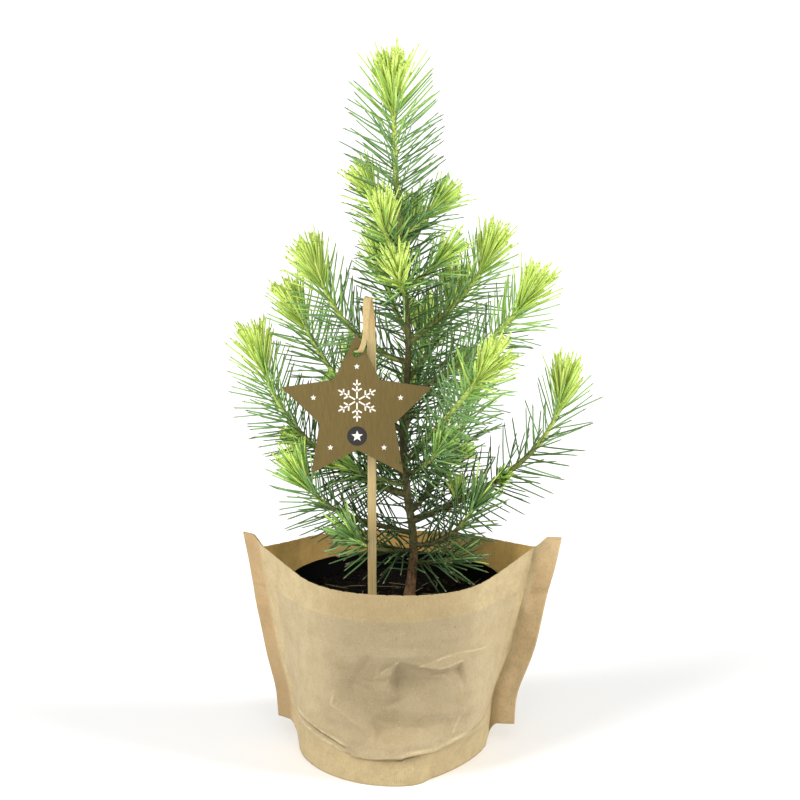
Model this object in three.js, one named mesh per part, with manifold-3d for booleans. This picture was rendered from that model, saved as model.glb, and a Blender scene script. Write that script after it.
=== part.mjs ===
// A young pine in a nursery pot, standing in a paper bag, with a star tag on a bamboo pick.
// Millimetres, +Z up. The origin is the centre of the bag's flat underside, and the bag's front faces -Y.
import * as THREE from 'three';
import { mergeVertices } from 'three/addons/utils/BufferGeometryUtils.js';
import Module from 'manifold-3d';

const wasm = await Module();
wasm.setup();

// ---------------------------------------------------------------- driving dimensions

const GAP = 0.3; // clearance between neighbouring solids
const ALLOWANCE = 0.5; // how much a neighbour is grown before it is cut out of a piece
const SMOOTHING = 0.2; // the slivers that a cut leaves are smoothed away within this

// The paper bag: two panels sealed along upright side fins, round a gusset that makes the floor.
const SHEET = 0.8;
const BAG_HEIGHT = 98; // the mouth at the middle of front and back
const MOUTH_RADIUS = 55.9; // inside, where the paper wraps the pot's rim
const MOUTH_LEFT = 65.4; // from the axis to the left seam
const MOUTH_RIGHT = 68.6;
const SEAM_RISE = 8; // how far the mouth climbs towards the seams
const FOOT_LEFT = 49.4;
const FOOT_RIGHT = 46.9;
const FOOT_DEPTH = 57;
const FIN_WIDTH = 13.4;
const FIN_TURN = { left: 42, right: -14 }; // degrees, backwards positive
const FIN_TOP_RISE = 5.5; // the fins' top above the mouth at the seam
const FIN_FOOT = 12; // the fins end this high, over a rounded notch
const NOTCH_WIDTH = 5;
const GUSSET_HEIGHT = 13;
const SEAL_GAP = 0.9; // between the two panels where they are sealed together

// The nursery pot, from its underside.
const POT_HEIGHT = 86.9;
const POT_BASE_RADIUS = 39;
const POT_RIM_RADIUS = 55;
const POT_WALL = 1.2;
const RIM_BAND = 12.4;
const RIM_LIP = 1.5; // the lip's height
const RIM_OVERHANG = 1.1; // and how far it stands out from the band
const BAND_DRAFT = 1.1; // the band narrows this much to its foot
const BAND_STEP = 3; // from the band in to the wall under it
const POT_SIDES = 26;

// The soil, filled to just below the rim.
const SOIL_TOP = 79;
const SOIL_UNEVEN = 1.1;

// The trunk: named heights with the sideways and depth offsets of its slight bends.
const TRUNK_FOOT = new THREE.Vector3(7, 0, SOIL_TOP + GAP);
const TRUNK_TRIM = 3; // cut off level below the foot
const TRUNK_BENDS = [
  [9.4, 0.5, 107],
  [5.9, 0.2, 136],
  [4, -0.5, 164],
  [6.7, 0, 211],
  [3.2, 0.5, 254],
  [0.8, 0.2, 292],
  [-0.9, 0, 336],
];
const TRUNK_RADIUS = 2.5;
const TRUNK_TIP_RADIUS = 0.8;
const ROOT_FLARE = 1.3;
const FLARE_HEIGHT = 7;
const TRUNK_STATIONS = 22;
const TRUNK_SIDES = 8;

// The needle masses.
const NEEDLE_REACH = 20; // past the end of the shoot that they grow on
const NEEDLE_SPREAD = 17; // the most that a mass stands out from its shoot
const NEEDLE_SWELL = 14; // the length in which a mass swells from its bough
const NEEDLE_CLOSE = 15; // and in which it closes at its end
const MASS_STATION = 16; // between the rings of a mass
const MASS_SIDES = 8;

// Each shoot leaves the trunk at a height, in the direction turn (0 is +X, 90 is +Y), and climbs from its
// first rise to its last one, in degrees, over its length. The first part of it, bare, shows as a bough.
const SHOOTS = [
  { name: 'left_long', height: 133, turn: 172, rise: [14, 77], bend: 1.2, length: 107, bare: 34 },
  { name: 'right_long', height: 119, turn: 5, rise: [23, 85], bend: 2.4, length: 106, bare: 30 },
  { name: 'left_back', height: 167, turn: 152, rise: [8, 63], bend: 0.6, length: 84, bare: 26 },
  { name: 'right_mid', height: 183, turn: -8, rise: [34, 62], bend: 2.8, length: 80, bare: 24 },
  { name: 'right_front', height: 150, turn: -45, rise: [43, 50], bend: 2, length: 77, bare: 24 },
  { name: 'left_upper', height: 202, turn: 174, rise: [0, 71], bend: 0.6, length: 67, bare: 20 },
  { name: 'right_upper', height: 211, turn: 15, rise: [36, 70], bend: 2.4, length: 58, bare: 18 },
  { name: 'left_low', height: 113, turn: -168, rise: [16, 70], bend: 2.8, length: 67, bare: 20 },
  { name: 'left_low_front', height: 104, turn: -152, rise: [6, 54], bend: 2.4, length: 38, bare: 13 },
  { name: 'right_low', height: 107, turn: -30, rise: [0, 66], bend: 0.8, length: 49, bare: 15 },
  { name: 'left_short', height: 138, turn: -178, rise: [10, 30], bend: 1, length: 30, bare: 10 },
  { name: 'right_inner', height: 143, turn: -52, rise: [28, 56], bend: 2.4, length: 33, bare: 12 },
  { name: 'right_foot', height: 98, turn: -18, rise: [-4, 24], bend: 1, length: 27, bare: 9 },
  { name: 'front_mid', height: 236, turn: -100, rise: [10, 65], bend: 1, length: 22, bare: 7 },
  { name: 'right_crown', height: 238, turn: -15, rise: [36, 46], bend: 1, length: 25, bare: 8 },
  { name: 'front_crown', height: 254, turn: -118, rise: [20, 76], bend: 1, length: 29, bare: 9 },
  { name: 'left_crown', height: 257, turn: 150, rise: [64, 56], bend: 1, length: 34, bare: 12 },
  { name: 'back_crown', height: 243, turn: 82, rise: [30, 68], bend: 1.2, length: 34, bare: 10 },
  { name: 'top_right', height: 263, turn: 22, rise: [38, 42], bend: 1, length: 26, bare: 9 },
  { name: 'back_low_right', height: 124, turn: 60, rise: [16, 70], bend: 1.5, length: 88, bare: 26 },
  { name: 'back_low_left', height: 141, turn: 112, rise: [16, 70], bend: 1.5, length: 80, bare: 24 },
  { name: 'back_mid', height: 163, turn: 78, rise: [24, 70], bend: 1.5, length: 70, bare: 20 },
  { name: 'back_upper_right', height: 192, turn: 52, rise: [30, 70], bend: 1.5, length: 54, bare: 16 },
  { name: 'back_upper_left', height: 215, turn: 116, rise: [34, 72], bend: 1.5, length: 46, bare: 14 },
];
const BOUGH_RADIUS = 1.15; // at the tip of a shoot
const BOUGH_STOUTNESS = 0.007; // extra radius for each millimetre of shoot beyond the point
const BOUGH_STATION = 7;
const BOUGH_SIDES = 6;

// The leader's needles wrap the trunk from here to the top of the tree.
const LEADER_FOOT = 272;
const LEADER_TOP = 357;
const LEADER_SPREAD = 24;
const LEADER_STATIONS = 8;
const LEADER_SIDES = 10;

// The pick: a flat bamboo strip, thinned above its shoulder and bent into a hook for the tag.
const PICK = { x: -11.5, y: -13, foot: 45, shoulder: 215, width: 4.4, thickness: 1.6 };
const HOOK = { top: 236.8, width: 4, endWidth: 2.6, thickness: 0.9 };
const SHAFT_STEPS = 3;
const HOOK_STEPS = 24;

// The star tag.
const STAR = { x: -18.6, y: -19.6, z: 180.9, outer: 38.8, inner: 19.4, thickness: 1.2 };
const STAR_HOLE = { height: 29.3, radius: 2.35 };
const TAG_MARGIN = 1.1; // needles keep this far behind the tag and round it
const TAG_VIEW = 45; // and this far in front of it

// ---------------------------------------------------------------- shaping helpers

const rad = THREE.MathUtils.degToRad;
const { lerp, smoothstep, clamp } = THREE.MathUtils;

// Moves every vertex of a geometry with place(x, y, z), which returns the new position.
function reshape(geometry, place) {
  const position = geometry.attributes.position;
  for (let i = 0; i < position.count; i += 1) {
    const moved = place(position.getX(i), position.getY(i), position.getZ(i));
    position.setXYZ(i, moved.x, moved.y, moved.z);
  }
  geometry.computeVertexNormals();
  return geometry;
}

// A closed limb round a curve: a capped cylinder whose rings are carried to the curve's stations.
// radiusAt(t, angle) gives the radius at share t of the curve's length, and grow swells the whole limb.
function limb(curve, radiusAt, stations, sides, grow = 0) {
  const frames = curve.computeFrenetFrames(stations, false);
  return reshape(new THREE.CylinderGeometry(1, 1, 1, sides, stations), (x, y, z) => {
    const t = clamp(y + 0.5, 0, 1);
    const station = Math.round(t * stations);
    const radius = radiusAt(t, Math.atan2(z, x)) + grow;
    const beyond = (station === stations ? grow : 0) - (station === 0 ? grow : 0);
    return curve
      .getPointAt(t)
      .addScaledVector(frames.tangents[station], beyond)
      .addScaledVector(frames.normals[station], x * radius)
      .addScaledVector(frames.binormals[station], -z * radius);
  });
}

// A closed strip along a curve, its width kept level. stops are its stations as shares of the curve's
// length, and sizeAt(t) gives its width and thickness there.
function strip(curve, sizeAt, stops) {
  const level = new THREE.Vector3(1, 0, 0);
  const last = stops.length - 1;
  return reshape(new THREE.BoxGeometry(1, 1, 1, 1, last, 1), (x, y, z) => {
    const t = stops[Math.round((y + 0.5) * last)];
    const along = curve.getTangentAt(t);
    const across = level.clone().addScaledVector(along, -level.dot(along)).normalize();
    const out = across.clone().cross(along);
    const { width, thickness } = sizeAt(t);
    return curve.getPointAt(t).addScaledVector(across, x * width).addScaledVector(out, z * thickness);
  });
}

// A turned piece: its profile is a list of [radius, height] that starts and ends on the axis.
function turned(profile, segments) {
  const points = profile.map(([radius, height]) => new THREE.Vector2(radius, height));
  return new THREE.LatheGeometry(points, segments).rotateX(Math.PI / 2);
}

function solidOf(geometry) {
  const bare = geometry.clone();
  bare.deleteAttribute('normal');
  bare.deleteAttribute('uv');
  const merged = mergeVertices(bare, 1e-4);
  const vertProperties = new Float32Array(merged.attributes.position.array);
  const triVerts = new Uint32Array(merged.index.array);
  return new wasm.Manifold(new wasm.Mesh({ numProp: 3, vertProperties, triVerts }));
}

function geometryOf(solid) {
  const { vertProperties, triVerts } = solid.getMesh();
  const geometry = new THREE.BufferGeometry();
  geometry.setAttribute('position', new THREE.BufferAttribute(new Float32Array(vertProperties), 3));
  geometry.setIndex(new THREE.BufferAttribute(new Uint32Array(triVerts), 1));
  geometry.computeVertexNormals();
  return geometry;
}

// What is left of a solid once its neighbours are cut out of it: its largest piece.
function cutRound(solid, neighbours) {
  const reached = neighbours.filter((other) => boxesMeet(solid, other));
  const left = reached.reduce((rest, other) => rest.subtract(other), solid).simplify(SMOOTHING);
  return left.decompose().reduce((best, piece) => (piece.volume() > best.volume() ? piece : best));
}

function boxesMeet(one, other) {
  const a = one.boundingBox();
  const b = other.boundingBox();
  return [0, 1, 2].every((axis) => a.min[axis] < b.max[axis] && b.min[axis] < a.max[axis]);
}

// ---------------------------------------------------------------- the plant's lines

const trunkCurve = new THREE.CatmullRomCurve3([
  TRUNK_FOOT.clone().setZ(TRUNK_FOOT.z - TRUNK_TRIM),
  ...TRUNK_BENDS.map(([x, y, z]) => new THREE.Vector3(x, y, z)),
]);

const trunkLength = trunkCurve.getLength();

// The trunk's middle at a height, found by stepping along its curve until the height is met.
function trunkAt(height) {
  let t = (height - TRUNK_FOOT.z + TRUNK_TRIM) / trunkLength;
  for (let step = 0; step < 4; step += 1) {
    t += (height - trunkCurve.getPointAt(t).z) / trunkLength;
  }
  return trunkCurve.getPointAt(t);
}

function trunkRadius(t) {
  const flare = ROOT_FLARE * Math.exp(-Math.max(0, t * trunkLength - TRUNK_TRIM) / FLARE_HEIGHT);
  return lerp(TRUNK_RADIUS, TRUNK_TIP_RADIUS, t ** 0.8) + flare;
}

function trunk(grow) {
  return solidOf(limb(trunkCurve, trunkRadius, TRUNK_STATIONS, TRUNK_SIDES, grow));
}

// Points along a shoot between two distances from the trunk's middle. Past its length it runs on straight.
function shootCurve({ height, turn, rise, bend, length }, from, to) {
  const points = [];
  const place = trunkAt(height);
  const steps = Math.ceil(to);
  const step = to / steps;
  for (let i = 0; i <= steps; i += 1) {
    const along = i * step;
    if (along >= from - step / 2 && (i % 6 === 0 || i === steps || points.length === 0)) {
      points.push(place.clone());
    }
    const climb = rad(lerp(rise[0], rise[1], Math.min(1, (along + step / 2) / length) ** bend));
    const level = step * Math.cos(climb);
    place.x += level * Math.cos(rad(turn));
    place.y += level * Math.sin(rad(turn));
    place.z += step * Math.sin(climb);
  }
  return new THREE.CatmullRomCurve3(points);
}

function boughRadius(shoot, along) {
  return BOUGH_RADIUS + BOUGH_STOUTNESS * (shoot.length - along);
}

function bough(shoot, grow) {
  const radiusAt = (t) => boughRadius(shoot, t * shoot.bare);
  const stations = Math.ceil(shoot.bare / BOUGH_STATION);
  return limb(shootCurve(shoot, 0, shoot.bare), radiusAt, stations, BOUGH_SIDES, grow);
}

// A mass swells from its bough, runs on at its full spread and closes round the furthest needle tips.
// Lumps of three sizes make it uneven, and the seed turns them from one mass to the next.
function needles(shoot, seed, grow) {
  const from = shoot.bare + GAP;
  const to = shoot.length + NEEDLE_REACH;
  const spread = Math.min(NEEDLE_SPREAD, 9 + shoot.length * 0.16);
  const radiusAt = (t, angle) => {
    const along = t * (to - from);
    const swell = lerp(0.3, 1, smoothstep(along, 0, NEEDLE_SWELL));
    const closing = clamp(1 - (to - from - along) / NEEDLE_CLOSE, 0, 1);
    const close = Math.sqrt(1 - 0.86 * closing ** 2);
    const lumps = 1 + 0.07 * Math.sin(2 * angle + seed * 1.9 + t * 5)
      + 0.06 * Math.sin(3 * angle - seed * 2.3 + t * 11);
    return spread * swell * close * lumps;
  };
  const stations = Math.ceil((to - from) / MASS_STATION) + 1;
  return limb(shootCurve(shoot, from, to), radiusAt, stations, MASS_SIDES, grow);
}

// The leader's mass: narrow at its foot and its top, and widest two thirds of the way down.
function leader(grow) {
  const height = LEADER_TOP - LEADER_FOOT;
  const top = trunkCurve.getPointAt(1);
  const curve = new THREE.CatmullRomCurve3([
    trunkAt(LEADER_FOOT),
    trunkAt(LEADER_FOOT + height * 0.35),
    top,
    new THREE.Vector3(top.x - 0.5, top.y, LEADER_TOP),
  ]);
  const radiusAt = (t, angle) => {
    const foot = lerp(0.55, 1, smoothstep(t, 0, 0.3));
    const crown = lerp(1, 0.28, smoothstep(t, 0.5, 1) ** 1.4);
    const lumps = 1 + 0.08 * Math.sin(3 * angle + t * 6) + 0.05 * Math.sin(5 * angle - t * 9);
    return LEADER_SPREAD * foot * crown * lumps;
  };
  return limb(curve, radiusAt, LEADER_STATIONS, LEADER_SIDES, grow);
}

// ---------------------------------------------------------------- the pick and its tag

const pickCurve = new THREE.CatmullRomCurve3(
  [
    [PICK.x, PICK.y, PICK.foot],
    [PICK.x, PICK.y, lerp(PICK.foot, PICK.shoulder, 0.5)],
    [PICK.x, PICK.y, PICK.shoulder],
    [PICK.x - 0.6, PICK.y - 0.4, HOOK.top - 8],
    [PICK.x - 1.7, PICK.y - 3.6, HOOK.top],
    [PICK.x - 2.5, PICK.y - 7.4, HOOK.top - 7],
    [PICK.x - 3.2, STAR.y - 3.4, HOOK.top - 19],
    [PICK.x - 5.2, STAR.y - 2.8, STAR.z + STAR_HOLE.height + 1.5],
    [STAR.x - 0.1, STAR.y, STAR.z + STAR_HOLE.height + 0.7],
    [STAR.x - 1, STAR.y + 3, STAR.z + STAR_HOLE.height + 0.6],
  ].map(([x, y, z]) => new THREE.Vector3(x, y, z)),
);

function pick(grow) {
  const shoulder = (PICK.shoulder - PICK.foot) / pickCurve.getLength();
  const shaftStops = Array.from({ length: SHAFT_STEPS }, (_, i) => (shoulder * i) / SHAFT_STEPS);
  const hookStops = Array.from({ length: HOOK_STEPS + 1 }, (_, i) => lerp(shoulder, 1, i / HOOK_STEPS));
  const sizeAt = (t) => {
    const thinned = smoothstep(t, shoulder - 0.01, shoulder + 0.01);
    const end = smoothstep(t, 0.84, 0.93);
    return {
      width: lerp(lerp(PICK.width, HOOK.width, thinned), HOOK.endWidth, end) + 2 * grow,
      thickness: lerp(PICK.thickness, HOOK.thickness, thinned) + 2 * grow,
    };
  };
  return strip(pickCurve, sizeAt, [...shaftStops, ...hookStops]);
}

// A star of five points about the origin that faces -Y, from depth front to back, pierced near its top
// point if holed.
function star(outer, inner, holed, front, back) {
  const shape = new THREE.Shape();
  for (let corner = 0; corner < 10; corner += 1) {
    const angle = Math.PI / 2 + (corner * Math.PI) / 5;
    const radius = corner % 2 ? inner : outer;
    shape[corner ? 'lineTo' : 'moveTo'](radius * Math.cos(angle), radius * Math.sin(angle));
  }
  shape.closePath();
  if (holed) {
    const hole = new THREE.Path().absarc(0, STAR_HOLE.height, STAR_HOLE.radius, 0, 2 * Math.PI, true);
    shape.holes.push(hole);
  }
  const settings = { depth: back - front, bevelEnabled: false, curveSegments: 12 };
  return new THREE.ExtrudeGeometry(shape, settings)
    .rotateX(Math.PI / 2)
    .translate(0, back, 0);
}

// ---------------------------------------------------------------- the bag

// The bag's inside in plan, as a radius from the axis in the direction angle at a height. The foot is an
// oval, and the mouth a circle round the pot's rim with straight runs from it to the two seams.
function bagRadius(angle, height) {
  const right = Math.cos(angle) > 0;
  const footWidth = right ? FOOT_RIGHT : FOOT_LEFT;
  const foot = 1 / Math.hypot(Math.cos(angle) / footWidth, Math.sin(angle) / FOOT_DEPTH);
  const seam = right ? MOUTH_RIGHT : MOUTH_LEFT;
  const fromMiddle = Math.atan2(Math.abs(Math.cos(angle)), Math.abs(Math.sin(angle)));
  const wrapped = Math.PI / 2 - Math.acos(MOUTH_RADIUS / seam);
  const mouth = MOUTH_RADIUS / Math.cos(Math.max(0, fromMiddle - wrapped));
  return lerp(foot, mouth, height / BAG_HEIGHT);
}

// One column of a panel: where it stands in plan at a height, and its lower and upper ends. u runs from
// the outer edge of the left fin, at -2, to the seams at -1 and 1, and the right fin's edge at 2.
function panelColumn(u, side) {
  const left = u < 0;
  const onFin = Math.max(0, Math.abs(u) - 1) * FIN_WIDTH;
  const across = clamp(u, -1, 1) * (Math.PI / 2);
  const turn = rad(left ? FIN_TURN.left : FIN_TURN.right);
  const seamRise = SEAM_RISE * Math.abs(clamp(u, -1, 1)) ** 2.4;
  const notch = Math.sqrt(1 - (1 - clamp(onFin / NOTCH_WIDTH, 0, 1)) ** 2);
  return {
    bottom: FIN_FOOT * notch,
    top: BAG_HEIGHT + seamRise + FIN_TOP_RISE * smoothstep(onFin, 0, FIN_WIDTH / 2),
    at(height) {
      const angle = across - Math.PI / 2;
      const radius = bagRadius(angle, height);
      return new THREE.Vector2(
        radius * Math.cos(angle) + (left ? -1 : 1) * onFin * Math.cos(turn),
        side * (-radius * Math.sin(angle) + SEAL_GAP / 2) + onFin * Math.sin(turn),
      );
    },
  };
}

// One panel of the bag with its halves of both fins: side is -1 for the front and 1 for the back.
function bagPanel(side) {
  const finSteps = [1, 0.6, NOTCH_WIDTH / FIN_WIDTH, 0.2, 0.08];
  const bodySteps = 16;
  const stops = [
    ...finSteps.map((share) => -1 - share),
    ...Array.from({ length: bodySteps + 1 }, (_, i) => -1 + (2 * i) / bodySteps),
    ...finSteps.toReversed().map((share) => 1 + share),
  ];
  const order = side < 0 ? stops : stops.toReversed();
  const last = order.length - 1;
  return reshape(new THREE.BoxGeometry(1, 1, 1, last, 1, 4), (x, y, z) => {
    const index = Math.round((x + 0.5) * last);
    const column = panelColumn(order[index], side);
    const height = lerp(column.bottom, column.top, z + 0.5);
    const place = column.at(height);
    const before = panelColumn(order[Math.max(0, index - 1)], side).at(height);
    const after = panelColumn(order[Math.min(last, index + 1)], side).at(height);
    const along = after.sub(before).normalize();
    const outward = y < 0 ? SHEET : 0;
    return new THREE.Vector3(place.x + along.y * outward, place.y - along.x * outward, height);
  });
}

// The gusset: a flat floor with a low wall that follows the panels' inside.
function bagGusset() {
  const wall = SHEET / FOOT_DEPTH;
  const profile = [
    [0, 0],
    [1, 0],
    [1, GUSSET_HEIGHT],
    [1 - wall, GUSSET_HEIGHT],
    [1 - wall, SHEET],
    [0, SHEET],
  ];
  return reshape(turned(profile, 32), (x, y, z) => {
    const angle = Math.atan2(y, x);
    const radius = Math.hypot(x, y) * (bagRadius(angle, z) - 2 * GAP);
    return new THREE.Vector3(radius * Math.cos(angle), radius * Math.sin(angle), z);
  });
}

// ---------------------------------------------------------------- the pot and the soil

const POT_FOOT = SHEET + GAP;
const BAND_FOOT = POT_HEIGHT - RIM_BAND;
const BAND_TOP_RADIUS = POT_RIM_RADIUS - RIM_OVERHANG;
const BAND_RADIUS = BAND_TOP_RADIUS - BAND_DRAFT;
const WALL_TOP_RADIUS = BAND_RADIUS - BAND_STEP;

function pot() {
  return turned(
    [
      [0, 0],
      [POT_BASE_RADIUS, 0],
      [WALL_TOP_RADIUS, BAND_FOOT - 1],
      [BAND_RADIUS, BAND_FOOT],
      [BAND_TOP_RADIUS, POT_HEIGHT - RIM_LIP - 0.5],
      [POT_RIM_RADIUS, POT_HEIGHT - RIM_LIP],
      [POT_RIM_RADIUS, POT_HEIGHT],
      [BAND_TOP_RADIUS - POT_WALL, POT_HEIGHT],
      [BAND_RADIUS - POT_WALL, BAND_FOOT + POT_WALL],
      [WALL_TOP_RADIUS - POT_WALL, BAND_FOOT - 1 + POT_WALL],
      [POT_BASE_RADIUS - POT_WALL, POT_WALL],
      [0, POT_WALL],
    ],
    POT_SIDES,
  );
}

// The soil fills the pot's inside and lies uneven on top, but level round the trunk's foot.
function soil() {
  const inset = POT_WALL + 2 * GAP + SMOOTHING;
  const foot = POT_FOOT + POT_WALL + GAP;
  const step = POT_FOOT + BAND_FOOT;
  const edge = BAND_RADIUS - inset;
  const profile = [
    [0, foot],
    [POT_BASE_RADIUS - inset, foot],
    [WALL_TOP_RADIUS - inset, step],
    [edge, step + POT_WALL + GAP],
    [edge, SOIL_TOP],
    ...[0.8, 0.6, 0.4, 0.2].map((share) => [edge * share, SOIL_TOP]),
    [0, SOIL_TOP],
  ];
  return reshape(turned(profile, POT_SIDES), (x, y, z) => {
    const fromTrunk = Math.hypot(x - TRUNK_FOOT.x, y - TRUNK_FOOT.y);
    const lumps = Math.sin(x * 0.19 + 1) * Math.cos(y * 0.23) + 0.5 * Math.sin(x * 0.41 - y * 0.37);
    const uneven = z > SOIL_TOP - 0.01 ? SOIL_UNEVEN * lumps * smoothstep(fromTrunk, 9, 22) : 0;
    return new THREE.Vector3(x, y, z + uneven);
  });
}

// ---------------------------------------------------------------- assembly

function finish(color, roughness) {
  return () => new THREE.MeshStandardMaterial({ color, roughness, metalness: 0 });
}

const BARK = finish(0x6b4a33, 0.85);
const GREEN_BARK = finish(0x6d7a3c, 0.8);
const NEEDLES = finish(0x5d9440, 0.6);
const BLACK_PLASTIC = finish(0x141414, 0.45);
const SOIL = finish(0x1d1712, 0.95);
const KRAFT = finish(0xc3ab7e, 0.85);
const BAMBOO = finish(0xc8a873, 0.6);
const STAR_BOARD = finish(0x85693a, 0.85);

function piece(name, geometry, material) {
  const mesh = new THREE.Mesh(geometry, material());
  mesh.name = name;
  return mesh;
}

const pickSolid = solidOf(pick(0));
const tagCutters = [
  solidOf(pick(ALLOWANCE)),
  solidOf(star(STAR.outer + 2 * TAG_MARGIN, STAR.inner + TAG_MARGIN, false, -TAG_VIEW, TAG_MARGIN))
    .translate([STAR.x, STAR.y, STAR.z]),
];
const trunkSpace = trunk(ALLOWANCE);

const boughs = new Map();
const boughSpaces = [];
for (const shoot of SHOOTS) {
  const neighbours = [trunkSpace, ...boughSpaces, ...tagCutters];
  boughs.set(shoot.name, cutRound(solidOf(bough(shoot, 0)), neighbours));
  boughSpaces.push(solidOf(bough(shoot, ALLOWANCE)));
}

const masses = new Map();
const massSpaces = [solidOf(leader(ALLOWANCE))];
masses.set('leader', cutRound(solidOf(leader(0)), [trunkSpace, ...boughSpaces, ...tagCutters]));
SHOOTS.forEach((shoot, seed) => {
  const neighbours = [...massSpaces, trunkSpace, ...boughSpaces, ...tagCutters];
  masses.set(shoot.name, cutRound(solidOf(needles(shoot, seed, 0)), neighbours));
  massSpaces.push(solidOf(needles(shoot, seed, ALLOWANCE)));
});

const pickPocket = solidOf(pick(GAP)).translate([0, 0, -GAP]);
const soilSolid = cutRound(solidOf(soil()), [pickPocket]);

const plant = new THREE.Group();
plant.add(piece('trunk', geometryOf(trunk(0).trimByPlane([0, 0, 1], TRUNK_FOOT.z)), BARK));
boughs.forEach((solid, name) => plant.add(piece(`bough_${name}`, geometryOf(solid), GREEN_BARK)));
masses.forEach((solid, name) => plant.add(piece(`needles_${name}`, geometryOf(solid), NEEDLES)));

const container = new THREE.Group();
container.add(
  piece('nursery_pot', pot(), BLACK_PLASTIC),
  piece('potting_soil', geometryOf(soilSolid), SOIL),
  piece('bag_front_panel', bagPanel(-1), KRAFT),
  piece('bag_back_panel', bagPanel(1), KRAFT),
  piece('bag_gusset', bagGusset(), KRAFT),
);
container.getObjectByName('nursery_pot').position.z = POT_FOOT;

const tag = new THREE.Group();
tag.add(
  piece('bamboo_pick', geometryOf(pickSolid), BAMBOO),
  piece('star_tag', star(STAR.outer, STAR.inner, true, -STAR.thickness / 2, STAR.thickness / 2), STAR_BOARD),
);
tag.getObjectByName('star_tag').position.set(STAR.x, STAR.y, STAR.z);

const group = new THREE.Group();
group.add(container, plant, tag);

export default group;
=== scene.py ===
import math

import bpy
import numpy as np
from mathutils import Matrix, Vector
from mathutils.geometry import delaunay_2d_cdt, tessellate_polygon


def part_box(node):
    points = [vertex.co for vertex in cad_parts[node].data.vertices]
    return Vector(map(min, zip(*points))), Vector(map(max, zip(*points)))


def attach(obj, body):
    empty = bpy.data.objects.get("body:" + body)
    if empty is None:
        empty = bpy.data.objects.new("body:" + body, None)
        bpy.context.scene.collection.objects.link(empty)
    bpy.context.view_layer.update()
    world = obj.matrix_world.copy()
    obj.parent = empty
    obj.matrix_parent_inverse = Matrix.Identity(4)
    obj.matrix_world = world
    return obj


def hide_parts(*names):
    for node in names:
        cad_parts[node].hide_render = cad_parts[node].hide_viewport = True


bl_info = {
    "name": "Potted Pine with Star Tag",
    "version": (1, 0, 0),
    "blender": (4, 5, 0),
    "location": "3D View > Sidebar > Pine",
    "description": "A young pine in a nursery pot and a kraft paper bag, with a star tag on a bamboo pick",
    "category": "Add Mesh",
}

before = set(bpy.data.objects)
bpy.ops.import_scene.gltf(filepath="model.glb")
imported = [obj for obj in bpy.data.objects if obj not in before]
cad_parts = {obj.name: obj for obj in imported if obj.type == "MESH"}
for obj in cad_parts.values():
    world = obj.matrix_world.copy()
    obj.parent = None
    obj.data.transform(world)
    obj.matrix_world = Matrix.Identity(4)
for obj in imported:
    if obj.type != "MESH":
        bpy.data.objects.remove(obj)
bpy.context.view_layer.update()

# Shapes are worked out in millimetres and stored in metres.
MM = 0.001
BODY = "root"
GOLDEN_ANGLE = math.radians(137.508)
NODES = sorted(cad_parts)
BOUGH_NODES = [name for name in NODES if name.startswith("bough_")]
MASS_NODES = [name for name in NODES if name.startswith("needles_")]


# ------------------------------------------------------------------ the plant's lines

# The trunk's middle, from the soil to the tip.
TRUNK_LINE = [
    (7.0, 0.0, 76.3), (9.4, 0.5, 107), (5.9, 0.2, 136), (4.0, -0.5, 164),
    (6.7, 0.0, 211), (3.2, 0.5, 254), (0.8, 0.2, 292), (-0.9, 0.0, 336),
]
# The radius at the soil and at the tip.
TRUNK_RADIUS = (2.35, 1.05)
# What the roots' flare adds at the soil, and the height in which most of it fades.
ROOT_FLARE = (1.0, 7.0)
# How far the trunk's fresh growth reaches back from its tip, against a bough's.
TRUNK_FRESH = 1.25

# name: height on the trunk, turn (0 is +X, 90 is +Y), first and last rise, how late it bends, length,
# and how far its fresh growth reaches back from the tip.
SHOOTS = {
    "left_long": (133, 172, 14, 77, 1.2, 107, 1.25),
    "right_long": (119, 5, 23, 85, 2.4, 106, 0.95),
    "left_back": (167, 152, 8, 63, 0.6, 84, 1.3),
    "right_mid": (183, -8, 34, 62, 2.8, 80, 1.15),
    "right_front": (150, -45, 43, 50, 2.0, 77, 1.15),
    "left_upper": (202, 174, 0, 71, 0.6, 67, 1.15),
    "right_upper": (211, 15, 36, 70, 2.4, 58, 1.0),
    "left_low": (113, -168, 16, 70, 2.8, 67, 0.56),
    "left_low_front": (104, -152, 6, 54, 2.4, 38, 0.32),
    "right_low": (107, -30, 0, 66, 0.8, 46, 0.29),
    "left_short": (138, -178, 10, 30, 1.0, 30, 0.6),
    "right_inner": (143, -52, 28, 56, 2.4, 33, 0.33),
    "right_foot": (98, -18, -4, 24, 1.0, 24, 0.12),
    "front_mid": (236, -100, 10, 65, 1.0, 22, 1.0),
    "right_crown": (238, -15, 36, 46, 1.0, 25, 0.6),
    "front_crown": (254, -118, 20, 76, 1.0, 29, 1.1),
    "left_crown": (257, 150, 64, 56, 1.0, 34, 1.4),
    "back_crown": (243, 82, 30, 68, 1.2, 34, 1.0),
    "top_right": (263, 22, 38, 42, 1.0, 26, 0.7),
    "back_low_right": (124, 60, 16, 70, 1.5, 88, 1.0),
    "back_low_left": (141, 112, 16, 70, 1.5, 80, 1.1),
    "back_mid": (163, 78, 24, 70, 1.5, 70, 1.0),
    "back_upper_right": (192, 52, 30, 70, 1.5, 54, 1.0),
    "back_upper_left": (215, 116, 34, 72, 1.5, 46, 1.1),
}
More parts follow.
